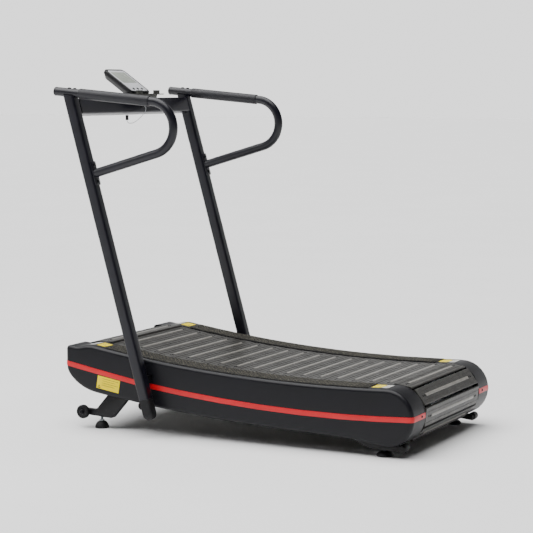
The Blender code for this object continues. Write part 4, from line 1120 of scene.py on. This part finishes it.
# ---- uprights, handles and crossbar ----------------------------------------------------------------
@dataclass
class Upright:
    """One raked upright with its foot plug, its bent handle and its grip."""

    y: float = 0.418
    half: Point2 = (0.0213, 0.020)
    corner: float = 0.008
    foot: Point2 = (-0.3175, 0.1365)
    lean: float = 0.2835
    seam_z: float = 0.139
    boot_depth: float = 0.0725
    boot_round: float = 0.0165
    tube_r: float = 0.016
    bend: Point2 = (-0.293, 1.1156)
    bend_r: float = 0.094
    top_fall: float = math.radians(5.0)
    low_fall: float = math.radians(16.5)
    front_x: float = -0.686
    grip_x: Point2 = (-0.586, -0.295)
    grip_r: float = 0.019

    def x_at(self, z: float) -> float:
        """The upright's middle at a height."""
        return self.foot[0] - self.lean * (z - self.foot[1])

    def handle_z(self, x: float) -> float:
        """Height of the middle of the handle's upper run at an X.

        Args:
            x: Place along the machine.

        Returns:
            The height.
        """
        touch_x = self.bend[0] + self.bend_r * math.sin(self.top_fall)
        touch_z = self.bend[1] + self.bend_r * math.cos(self.top_fall)
        return touch_z - (x - touch_x) * math.tan(self.top_fall)

    def _post(self, side: Side) -> Shape:
        """The raked tube, cut square at its foot and to the handle at its top.

        Args:
            side: Its side.

        Returns:
            The tube.
        """
        y = side.value * self.y
        low, top = self.seam_z - 0.02, self.handle_z(self.x_at(1.16)) + 0.02
        post = Shape().bar(self.half, self.corner, (self.x_at(low), y, low), (self.x_at(top), y, top))
        head = (self.x_at(1.17), y, self.handle_z(self.x_at(1.17)) - self.tube_r * 0.55)
        cuts = ((head, (math.sin(self.top_fall), 0, math.cos(self.top_fall))),
                ((self.x_at(self.seam_z), y, self.seam_z), (self.lean, 0, -1)))
        for spot, normal in cuts:
            whole = [*post.bm.verts, *post.bm.edges, *post.bm.faces]
            done = bmesh.ops.bisect_plane(post.bm, geom=whole, plane_co=spot, plane_no=normal,
                                          clear_outer=True)
            rim = [e for e in done["geom_cut"] if isinstance(e, bmesh.types.BMEdge)]
            bmesh.ops.contextual_create(post.bm, geom=rim)
        return post

    def _boot(self, side: Side) -> Shape:
        """The rounded boot on the upright's foot, with a lip at its seam.

        Args:
            side: Its side.

        Returns:
            The boot.
        """
        levels = [(0.0, -0.0003), (0.0006, -0.0008), (0.0058, -0.0008), (0.0066, -0.0004), (0.0070, 0.0)]
        straight = self.boot_depth - 0.0225
        turns = [math.radians(9 * i) for i in range(11)]
        levels += [(straight + 0.0225 * math.sin(a), self.boot_round * (1 - math.cos(a))) for a in turns]
        rings = []
        for depth, inset in levels:
            half = (self.half[0] - inset, self.half[1] - inset)
            ring = []
            for dx, dy in rounded_rectangle(half, min(max(0.0035, self.corner - inset * 0.5), 0.9 * half[1])):
                z = self.seam_z - 0.0003 - depth + self.lean * dx / (1 + self.lean**2)
                ring.append((self.x_at(z) + dx, side.value * self.y + dy, z))
            rings.append(ring)
        return Shape().loft(rings)

    def _tube(self, side: Side) -> Shape:
        """The handle's bent tube.

        Args:
            side: Its side.

        Returns:
            The bent tube.
        """
        y = side.value * self.y
        part = bmesh.new()
        heading = Vector((math.cos(self.top_fall), 0, -math.sin(self.top_fall)))
        start = Vector((self.front_x, y, self.handle_z(self.front_x)))
        touch = Vector((self.bend[0] + self.bend_r * math.sin(self.top_fall), y,
                        self.bend[1] + self.bend_r * math.cos(self.top_fall)))
        bmesh.ops.create_circle(part, cap_ends=True, segments=36, radius=self.tube_r,
                                matrix=aligned(start, heading))
        ring = part.edges[:]
        ring = self._drawn(part, ring, touch - start)
        turned = bmesh.ops.spin(part, geom=[*{v for e in ring for v in e.verts}, *ring],
                                cent=(self.bend[0], y, self.bend[1]), axis=(0, 1, 0), dvec=(0, 0, 0),
                                angle=math.pi - self.top_fall - self.low_fall, steps=28, use_merge=False,
                                use_duplicate=False)
        last = [e for e in turned["geom_last"] if isinstance(e, bmesh.types.BMEdge)]
        end, back = self._handle_end(side)
        middle = sum((v.co for v in {v for e in last for v in e.verts}), Vector()) / len(last)
        last = self._drawn(part, last, end - middle + back * 0.002)
        bmesh.ops.contextual_create(part, geom=last)
        return Shape()._absorb(part, Matrix(), 0.0, 0)

    @staticmethod
    def _drawn(part: bmesh.types.BMesh, ring: list[bmesh.types.BMEdge],
               step: Vector) -> list[bmesh.types.BMEdge]:
        """Draws a ring of edges out by a step and gives the new ring.

        Args:
            part: The mesh that is drawn on.
            ring: Edges of the open end.
            step: How far the ring is moved.

        Returns:
            Edges of the new ring.
        """
        made = bmesh.ops.extrude_edge_only(part, edges=ring)["geom"]
        verts = {v for v in made if isinstance(v, bmesh.types.BMVert)}
        bmesh.ops.translate(part, vec=step, verts=list(verts))
        return [e for e in made if isinstance(e, bmesh.types.BMEdge) and e.verts[0] in verts
                and e.verts[1] in verts]

    def _handle_end(self, side: Side) -> tuple[Vector, Vector]:
        """Where the handle meets its flange, and the way that it points there.

        Args:
            side: Its side.

        Returns:
            The point and the direction.
        """
        angle = -math.pi / 2 + self.low_fall
        touch = Vector((self.bend[0] + self.bend_r * math.cos(angle), side.value * self.y,
                        self.bend[1] + self.bend_r * math.sin(angle)))
        back = Vector((-math.cos(self.low_fall), 0, -math.sin(self.low_fall)))
        reach = 0.0
        for _ in range(40):
            z = touch.z + reach * back.z
            reach = (touch.x - (self.x_at(z) + self.half[0] + 0.0045)) / math.cos(self.low_fall)
        return touch + back * reach, back

    def build(self, side: Side) -> None:
        """Makes one side's upright, plug, handle, flange, screws and grip.

        Args:
            side: Its side.
        """
        tag = side.tag
        y = side.value * self.y
        self._post(side).piece("upright_post_" + tag, POWDER_COAT, "base", "frame_paint", ["upright_" + tag])
        self._boot(side).piece("upright_boot_" + tag, BLACK_RUBBER, "base", "cap_plastic",
                               ["upright_cap_" + tag])
        tube = self._tube(side)
        end, _ = self._handle_end(side)
        tilt = Matrix.Rotation(-math.atan(self.lean), 4, "Y")
        face = Vector((self.x_at(end.z) + self.half[0] + 0.0006, y, end.z))
        out = tilt.to_3x3() @ Vector((1, 0, 0))
        tube.block((0, -0.0165, -0.044), (0.0045, 0.0165, 0.044), 0.0015, 3, Matrix.Translation(face) @ tilt)
        tube.piece("handle_tube_" + tag, POWDER_COAT, "base", "tube_paint", ["handlebar_" + tag])
        along = Vector((math.cos(self.top_fall), 0, -math.sin(self.top_fall)))
        over = Vector((math.sin(self.top_fall), 0, math.cos(self.top_fall)))
        screws = []
        for offset in (-0.031, 0.031):
            spot = face + tilt.to_3x3() @ Vector((0.0045, 0, offset))
            screws.append(aligned(spot, out))
        for x in (-0.632, -0.609):
            spot = Vector((x, y, self.handle_z(x))) + over * (self.tube_r - 0.0006)
            screws.append(aligned(spot, over))
        Shape().join(button_head(0.0065, 0.0036), screws).piece("handle_screws_" + tag, BLACK_OXIDE, "base",
                                                                "steel")
        start = Vector((self.grip_x[0], y, self.handle_z(self.grip_x[0])))
        length = (self.grip_x[1] - self.grip_x[0]) / math.cos(self.top_fall)
        inner, r = self.tube_r + 0.0001, self.grip_r
        sleeve = [(inner, 0.0), (r - 0.0012, 0.0), (r - 0.0003, 0.0008), (r, 0.0022), (r, length - 0.0022),
                  (r - 0.0003, length - 0.0008), (r - 0.0012, length), (inner, length)]
        Shape().lathe(sleeve, start, along, 48, True).piece("grip_sleeve_" + tag, GRIP_FOAM, "base",
                                                            "grip_foam",
                                                           ["grip_" + tag])
        cap = [(0.0, -0.004), (self.tube_r - 0.002, -0.004), (self.tube_r - 0.002, 0.0002),
               (self.tube_r + 0.0004, 0.0002),
               (self.tube_r + 0.0004, 0.0022), (0.93 * self.tube_r, 0.0046), (0.75 * self.tube_r, 0.0064),
               (0.45 * self.tube_r, 0.0074), (0.0, 0.0078)]
        Shape().lathe(cap, (self.front_x, y, self.handle_z(self.front_x)), -along, 36).piece(
            "handle_plug_" + tag, BLACK_RUBBER, "base", "cap_plastic", ["handle_cap_" + tag])
        self._knob(side)

    def _knob(self, side: Side) -> None:
        """The big button-head bolt through the front of the upright's foot.

        Args:
            side: Its side.
        """
        lean = math.atan(self.lean)
        axis = Vector((-math.cos(lean), 0, -math.sin(lean)))
        start = Vector((self.x_at(0.114) - self.half[0] - 0.0003, side.value * self.y, 0.114))
        profile = [(0.0, 0.0), (0.0122, 0.0), (0.0135, 0.0010), (0.0135, 0.0082), (0.0128, 0.0102),
                   (0.0110, 0.0118),
                   (0.0068, 0.0124), (0.0062, 0.0095), (0.0, 0.0095)]
        Shape().lathe(profile, start, axis, 32).piece("foot_bolt_" + side.tag, BLACK_OXIDE, "base", "steel",
                                                      ["upright_bolt_" + side.tag])


@dataclass
class Crossbar:
    """The rectangular tube that holds the uprights square and carries the console."""

    half: Point2 = (0.0205, 0.029)
    centre_z: float = 1.186
    corner: float = 0.006

    def build(self, upright: Upright) -> None:
        """Makes the bar.

        Args:
            upright: Gives the places of the uprights.
        """
        reach = upright.y - upright.half[1]
        tilt = Matrix.Rotation(-math.atan(upright.lean), 4, "Y")
        place = Matrix.Translation((upright.x_at(self.centre_z), 0, self.centre_z)) @ tilt
        stand = Matrix(((1, 0, 0, 0), (0, 0, 1, 0), (0, -1, 0, 0), (0, 0, 0, 1)))
        bar = Shape().bar(self.half, self.corner, (0, 0, -reach), (0, 0, reach), place @ stand)
        bar.piece("crossbar_tube", POWDER_COAT, "base", "frame_paint", ["crossbar"])


# ---- console ---------------------------------------------------------------------------------------
@dataclass
class Console:
    """The tilted display, its buttons, its bracket with a ledge, and the safety key on its cord."""

    face_top: Point2 = (-0.6985, 1.3283)
    face_y: float = -0.004
    fall: float = math.radians(34.6)
    length: float = 0.155
    half_width: float = 0.070
    margin: float = 0.009
    button_s: float = 0.132
    button_y: Sequence[float] = (-0.030, 0.0, 0.030)
    button_r: float = 0.0055
    key: Point3 = (-0.574, 0.004, 1.1918)
    clip_y: float = -0.068

    def place(self) -> Matrix:
        """The face's own place: X down the slope, Y across, Z out of it."""
        turn = Matrix.Rotation(self.fall, 4, "Y")
        return Matrix.Translation((self.face_top[0], self.face_y, self.face_top[1])) @ turn

    def _slab(self, s: Point2, half_y: float, levels: Sequence[Point2], corner: float) -> Shape:
        """A plate with rounded corners, parallel to the face.

        Args:
            s: Where it starts and ends down the slope.
            half_y: Half of its width.
            levels: Each ring's height out of the face and how far it is drawn in.
            corner: Radius of its corners.

        Returns:
            The plate.
        """
        rings = []
        for out, inset in levels:
            half = ((s[1] - s[0]) / 2 - inset, half_y - inset)
            rings.append([((s[0] + s[1]) / 2 + a, b, out) for a, b in rounded_rectangle(half, corner, 8)])
        return Shape().loft(rings, self.place())

    def build(self) -> None:
        """Makes the housing, the face, the buttons, the bracket and the key."""
        place = self.place()
        holes = []
        for y in self.button_y:
            spot = place @ Vector((self.button_s, y, 0.0))
            holes.append(Shape().rod(spot, place.to_3x3() @ Vector((0, 0, 1)), self.button_r + 0.0004, 0.014,
                                     32))
        inner = self.margin
        casing = ((-0.0310, 0.0138), (-0.0304, 0.0120), (-0.0290, 0.0106), (-0.0180, 0.0036),
                  (-0.0155, 0.0014),
                  (-0.0130, 0.0002), (-0.0040, 0.0), (-0.0018, 0.0005), (-0.0006, 0.0016), (0.0, 0.0030))
        inside = (inner, self.length - inner)
        recess = self._slab(inside, self.half_width - inner, ((-0.0023, 0.0), (0.01, 0.0)), 0.012)
        housing = self._slab((0.0, self.length), self.half_width, casing, 0.018)
        housing.carve(recess, *holes).piece("console_casing", CONSOLE_ABS, "base", "console_shell",
                                            ["console_housing"], 50)
        face = self._slab(inside, self.half_width - inner,
                          ((-0.0020, 0.0003), (-0.0006, 0.0003), (-0.0004, 0.0006)),
                          0.0117)
        face.carve(*holes).piece("console_overlay", SILVER_FACE, "base", "console_face", ["console_face"])
        self._slab((0.022, 0.092), 0.050, ((-0.0008, 0.0), (-0.0001, 0.0), (0.0, 0.0002)), 0.004).piece(
            "display_window", LCD_WINDOW, "base", "console_face")
        up = place.to_3x3() @ Vector((0, 0, 1))
        for name, y in zip(("mode", "set", "reset"), self.button_y):
            r = self.button_r
            profile = [(0.0, -0.0055), (r, -0.0055), (r, 0.0006), (0.93 * r, 0.0012), (0.6 * r, 0.0015),
                       (0.0, 0.0013)]
            Shape().lathe(profile, place @ Vector((self.button_s, y, 0.0)), up, 32).piece(
                "key_cap_" + name, BLACK_RUBBER, "button_" + name, "button_plastic", ["button_" + name])
        softened("console_bracket", 0.0009, 2).piece("console_stand", LEDGE_RUBBER, "base", "frame_paint",
                                                     ["console_bracket"])
        low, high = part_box("safety_key")
        top = (low + high) / 2
        knob = [(0.0, 0.0), (0.0080, 0.0), (0.0080, 0.0012), (0.0072, 0.0020), (0.0072, 0.0074),
                (0.0080, 0.0082),
                (0.0080, 0.0098), (0.0070, 0.0105), (0.0, 0.0105)]
        Shape().lathe(knob, (top.x, top.y, high.z), (0, 0, -1), 32).piece(
            "key_knob", CONSOLE_ABS, "safety_key", "key_plastic", ["safety_key"])

    def build_cord(self) -> None:
        x, y, _ = self.key
        route = [(x + 0.0094, y, 1.1860), (x + 0.0160, y - 0.002, 1.1820), (x + 0.0150, y - 0.008, 1.1640),
                 (x + 0.0020, y - 0.030, 1.1390), (x - 0.0110, y - 0.050, 1.1250),
                 (x - 0.0210, y - 0.068, 1.1230),
                 (x - 0.0260, self.clip_y, 1.1330)]
        points = smooth_line(route, 6)
        curve = bpy.data.curves.new("key_cord", "CURVE")
        curve.dimensions = "3D"
        curve.bevel_depth = 0.0011
        curve.bevel_resolution = 3
        curve.use_fill_caps = True
        spline = curve.splines.new("POLY")
        spline.points.add(len(points) - 1)
        for target, point in zip(spline.points, points):
            target.co = (*point, 1.0)
        curve.materials.append(CORD_NYLON.material())
        cord = bpy.data.objects.new("key_cord", curve)
        bpy.context.scene.collection.objects.link(cord)
        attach(cord, "base")
        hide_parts("tether_cord")
        low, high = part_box("tether_clip")
        clip = Shape().block(low, high, 0.0016, 3)
        clip.block((low.x - 0.0004, low.y + 0.0018, low.z + 0.004),
                   (high.x + 0.0004, high.y - 0.0018, high.z - 0.004),
                   0.0005, 2)
        jaw = clip.piece("cord_clip", CONSOLE_ABS, "base", "clip_plastic", ["tether_clip"])


# ---- feet and wheels -------------------------------------------------------------------------------
@dataclass
class Footing:
    """The legs, levelling feet, transport wheels and lifting pegs under the frame."""

    stem_r: float = 0.005
    thread: float = 0.0015

    def _foot(self, end: str, side: Side, pad_r: float, pad_h: float, stem_top: float, nut: float) -> None:
        """One levelling foot.

        Args:
            end: "front" or "rear".
            side: Its side.
            pad_r: Radius of the pad.
            pad_h: Height of the pad.
            stem_top: Height of the stem's end.
            nut: Thickness of the nut on the pad, or 0 for none.
        """
        node = "%s_levelling_foot_%s" % (end, side.tag)
        body = "foot_%s_%s" % (end, side.tag)
        low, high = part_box(node)
        centre = ((low.x + high.x) / 2, (low.y + high.y) / 2, 0.0)
        pad = [(0.0, 0.0), (pad_r - 0.0012, 0.0), (pad_r, 0.0012), (pad_r, 0.22 * pad_h),
               (0.97 * pad_r, 0.34 * pad_h),
               (0.86 * pad_r, 0.60 * pad_h), (0.70 * pad_r, 0.80 * pad_h), (0.50 * pad_r, 0.93 * pad_h),
               (0.36 * pad_r, pad_h), (0.0, pad_h)]
        Shape().lathe(pad, centre, (0, 0, 1), 40).piece("pad_%s_%s" % (end, side.tag), BLACK_RUBBER, body,
                                                        "rubber",
                                                       [node])
        stem = [(0.0, pad_h - 0.002), (self.stem_r, pad_h - 0.002)]
        z = pad_h
        while z < stem_top - self.thread:
            stem += [(self.stem_r, z), (self.stem_r - 0.0006, z + 0.5 * self.thread)]
            z += self.thread
        stem += [(self.stem_r, stem_top - 0.001), (self.stem_r - 0.001, stem_top), (0.0, stem_top)]
        screw = Shape().lathe(stem, centre, (0, 0, 1), 20)
        if nut:
            screw.rod((centre[0], centre[1], pad_h + nut / 2), (0, 0, 1), 0.0095, nut, 6, 0.0006)
        screw.piece("stem_%s_%s" % (end, side.tag), ZINC_PLATE, body, "steel")

    def _wheel(self, side: Side) -> None:
        """One transport wheel, its hub and its axle bolt.

        Args:
            side: Its side.
        """
        axis = joint_axis("wheel_%s_spin" % side.tag)
        low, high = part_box("transport_wheel_" + side.tag)
        y0, y1 = (low.y, high.y) if side is Side.RIGHT else (high.y, low.y)
        width = abs(y1 - y0)
        out = (0, side.value, 0)
        start = (axis.x, y0, axis.z)
        r = (high.z - low.z) / 2
        tyre = [(0.0165, 0.0022), (r - 0.0045, 0.0018), (r - 0.0016, 0.0030), (r, 0.0058), (r, width * 0.46),
                (r - 0.0007, width * 0.48), (r - 0.0007, width * 0.52), (r, width * 0.54),
                (r, width - 0.0058),
                (r - 0.0016, width - 0.0030), (r - 0.0045, width - 0.0018), (0.0165, width - 0.0022)]
        Shape().lathe(tyre, start, out, 56, True).piece("wheel_tyre_" + side.tag, BLACK_RUBBER,
                                                        "wheel_" + side.tag, "rubber",
                                                        ["transport_wheel_" + side.tag])
        hub = [(0.0054, 0.0), (0.0098, 0.0), (0.0104, 0.0030), (0.0150, 0.0042), (0.0166, 0.0024),
               (0.0166, width - 0.0024),
               (0.0150, width - 0.0042), (0.0104, width - 0.0030), (0.0098, width), (0.0054, width)]
        Shape().lathe(hub, start, out, 40, True).piece("wheel_hub_" + side.tag, CONSOLE_ABS,
                                                       "wheel_" + side.tag,
                                                      "rubber")
        node = "wheel_axle_" + side.tag
        low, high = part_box(node)
        first, last = (low.y, high.y) if side is Side.RIGHT else (high.y, low.y)
        bolt = Shape().rod((axis.x, (first + last) / 2, axis.z), (0, 1, 0), 0.0049,
                           abs(last - first) - 0.002, 24)
        bolt.rod((axis.x, first + side.value * 0.0029, axis.z), (0, 1, 0), 0.0085, 0.0054, 6, 0.0006)
        bolt.join(button_head(0.0085, 0.0052), [aligned((axis.x, last - side.value * 0.0060, axis.z), out)])
        bolt.piece("wheel_bolt_" + side.tag, BLACK_OXIDE, "base", "steel", [node])

    def build(self) -> None:
        """Makes everything under the frame."""
        for side in Side:
            self._foot("front", side, 0.0255, 0.0270, 0.0590, 0.0045)
            self._foot("rear", side, 0.0300, 0.0165, 0.0460, 0.0)
            self._wheel(side)
            for end in ("front", "rear"):
                node = "%s_foot_bracket_%s" % (end, side.tag)
                softened(node, 0.0016, 3).piece("leg_%s_%s" % (end, side.tag), FRAME_COAT, "base",
                                                "frame_paint",
                                                [node])
            node = "rear_lift_peg_" + side.tag
            low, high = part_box(node)
            axis = (low + high) / 2
            end = high.y if side is Side.RIGHT else low.y
            r, core = (high.z - low.z) / 2, 0.0104
            length, flange = high.y - low.y, 0.0137
            peg = [(0.0, -length), (core - 0.0012, -length), (core, 0.0012 - length), (core, -flange),
                   (r, -flange),
                   (r, -0.0050), (r - 0.0008, -0.0026), (r - 0.0026, -0.0008), (r - 0.0050, 0.0), (0.0, 0.0)]
            Shape().lathe(peg, (axis.x, end, axis.z), (0, side.value, 0), 36).piece(
                "lifting_peg_" + side.tag, BLACK_RUBBER, "base", "rubber", [node])


# ---- frame and studio ------------------------------------------------------------------------------
@dataclass
class Frame:
    """The welded frame, drums and bearings, whose CAD shapes stay, and the front guard."""

    coats: dict[str, Finish] = field(default_factory=lambda: {
        "frame_rail": FRAME_COAT, "cross_tube": FRAME_COAT, "upright_mount": FRAME_COAT,
                                                              "front_bearing": FRAME_COAT,
        "rear_bearing": FRAME_COAT, "bearing_rail": ZINC_PLATE, "front_drum": ZINC_PLATE,
                                                              "rear_drum": ZINC_PLATE})

    def build(self) -> None:
        """Dresses the CAD nodes that stay, and makes the front guard."""
        for name, node in frame["nodes"].items():
            for start, finish in self.coats.items():
                if name.startswith(start):
                    for slot in node.material_slots:
                        slot.material = finish.material()
                    LOG.info("%s: dressed in %s", name, finish.name)
        softened("front_shield", 0.0006, 1).piece("front_guard", FRAME_COAT, "base", "frame_paint",
                                                  ["front_shield"])


@dataclass
class Studio:
    """Camera, floor and soft lights.

    Attributes:
        eye: Where the camera stands.
        turn: Its turn about Z, in degrees.
        dip: How far it looks down, in degrees.
        lens: Focal length in millimetres on a 36 mm sensor.
    """

    eye: Point3 = (2.9237, -5.9013, 1.2649)
    turn: float = 26.68
    dip: float = 5.79
    lens: float = 120.5

    def build_camera(self) -> None:
        """Makes the camera and sets it as the scene's."""
        data = bpy.data.cameras.new("camera")
        data.lens = self.lens
        data.sensor_width = 36.0
        data.clip_end = 200.0
        camera = bpy.data.objects.new("camera", data)
        camera.location = self.eye
        camera.rotation_euler = (math.radians(90 - self.dip), 0, math.radians(self.turn))
        bpy.context.scene.collection.objects.link(camera)
        bpy.context.scene.camera = camera

    def _lamp(self, name: str, spot: Point3, target: Point3, size: Point2, power: float) -> None:
        """A soft rectangular light aimed at a point.

        Args:
            name: The lamp's name.
            spot: Where it stands.
            target: What it points at.
            size: Its width and height.
            power: Its power in watts.
        """
        data = bpy.data.lights.new(name, "AREA")
        data.shape = "RECTANGLE"
        data.size, data.size_y = size
        data.energy = power
        lamp = bpy.data.objects.new(name, data)
        lamp.location = spot
        lamp.rotation_euler = (Vector(target) - Vector(spot)).to_track_quat("-Z", "Y").to_euler()
        bpy.context.scene.collection.objects.link(lamp)

    def build_room(self) -> None:
        """Makes the floor, the lights and the pale surroundings."""
        part = bmesh.new()
        bmesh.ops.create_grid(part, x_segments=1, y_segments=1, size=60.0)
        mesh = bpy.data.meshes.new("studio_floor")
        part.to_mesh(mesh)
        part.free()
        floor = bpy.data.objects.new("studio_floor", mesh)
        floor.location.z = -0.0005
        paper = Finish("white_paper_floor", "#f4f4f4", "#f1f1f1", 0.85, 0.02, grain_mm=3.0, relief_mm=0.01,
                       patch_mm=900.0)
        mesh.materials.append(paper.material())
        bpy.context.scene.collection.objects.link(floor)
        sun = bpy.data.lights.new("ceiling_glow", "SUN")
        sun.energy = 6.0
        sun.angle = math.radians(70)
        ceiling = bpy.data.objects.new("ceiling_glow", sun)
        ceiling.rotation_euler = (math.radians(6), math.radians(-10), 0)
        bpy.context.scene.collection.objects.link(ceiling)
        self._lamp("front_softbox", (-2.6, -2.2, 3.2), (-0.2, 0.0, 0.6), (2.0, 2.0), 40.0)
        world = bpy.data.worlds.new("pale_surroundings")
        world.use_nodes = True
        tree = world.node_tree
        ray = add_node(tree, "ShaderNodeTexCoord").outputs["Generated"]
        ahead = add_node(tree, "ShaderNodeVectorMath", {0: ray, 1: (-0.45, 0.89, 0.0)},
                         operation="DOT_PRODUCT")
        wall = add_node(tree, "ShaderNodeMapRange", {"Value": ahead.outputs["Value"], "From Min": 0.2,
                                                     "From Max": 0.95, "To Min": 0.10,
                                                     "To Max": 1.3}).outputs[0]
        up = add_node(tree, "ShaderNodeSeparateXYZ", {"Vector": ray}).outputs["Z"]
        low = add_node(tree, "ShaderNodeMapRange",
                       {"Value": up, "From Min": 0.16, "From Max": 0.42, "To Min": 1.0,
                                                    "To Max": 0.12}).outputs[0]
        glow = add_node(tree, "ShaderNodeMath", {0: wall, 1: low}, operation="MULTIPLY").outputs[0]
        seen = add_node(tree, "ShaderNodeLightPath").outputs["Is Camera Ray"]
        level = add_node(tree, "ShaderNodeMix", {"Factor": seen, 2: glow, 3: 1.7},
                         data_type="FLOAT").outputs[0]
        tree.links.new(level, tree.nodes["Background"].inputs["Strength"])
        tree.nodes["Background"].inputs["Color"].default_value = (1.0, 1.0, 1.0, 1.0)
        bpy.context.scene.world = world


def build_labels(cover: SideCover) -> None:
    """Makes the labels on the covers and beyond the ends of the foot rails.

    Args:
        cover: Gives the covers' sizes.
    """
    across = Matrix.Rotation(math.pi / 2, 4, "Z")
    nose = Matrix.Rotation(math.radians(-3.7), 4, "Y")
    for side in Side:
        stand = Matrix.Rotation(math.pi / 2, 4, "X")
        turn = Matrix.Rotation(0 if side is Side.LEFT else math.pi, 4, "Z")
        slope = Matrix.Rotation(math.radians(9.0), 4, "Y")
        spot = Matrix.Translation((-0.501, side.value * (cover.outer_y + 0.0001), 0.1740))
        Label((0.096, 0.047), spot @ slope @ turn @ stand, "cover_" + side.tag).build()
        y = side.value * 0.3175
        Label((0.056, 0.036), ARC.place(-0.5525, y, 0.0009) @ across, "front_yellow_" + side.tag).build()
        Label((0.056, 0.025), Matrix.Translation((-0.5887, y, 0.3119)) @ nose @ across,
              "front_white_" + side.tag,
              WHITE_VINYL).build()
        Label((0.056, 0.036), ARC.place(0.5520, y, 0.0009) @ across, "rear_yellow_" + side.tag).build()
        Label((0.056, 0.025), ARC.place(0.5845, y, 0.0009) @ across, "rear_white_" + side.tag,
              WHITE_VINYL).build()


def main() -> None:
    """Builds the machine piece by piece and reports each."""
    logging.basicConfig(level=logging.INFO, format="%(name)s: %(message)s")
    studio = Studio()
    studio.build_camera()
    console = Console()
    console.build_cord()
    studio.build_room()
    Frame().build()
    SlatBelt().build()
    cover = SideCover()
    upright = Upright()
    for side in Side:
        cover.build(side)
        FootRail().build(side)
        upright.build(side)
    build_labels(cover)
    Crossbar().build(upright)
    console.build()
    Footing().build()


if __name__ == "__main__":
    main()
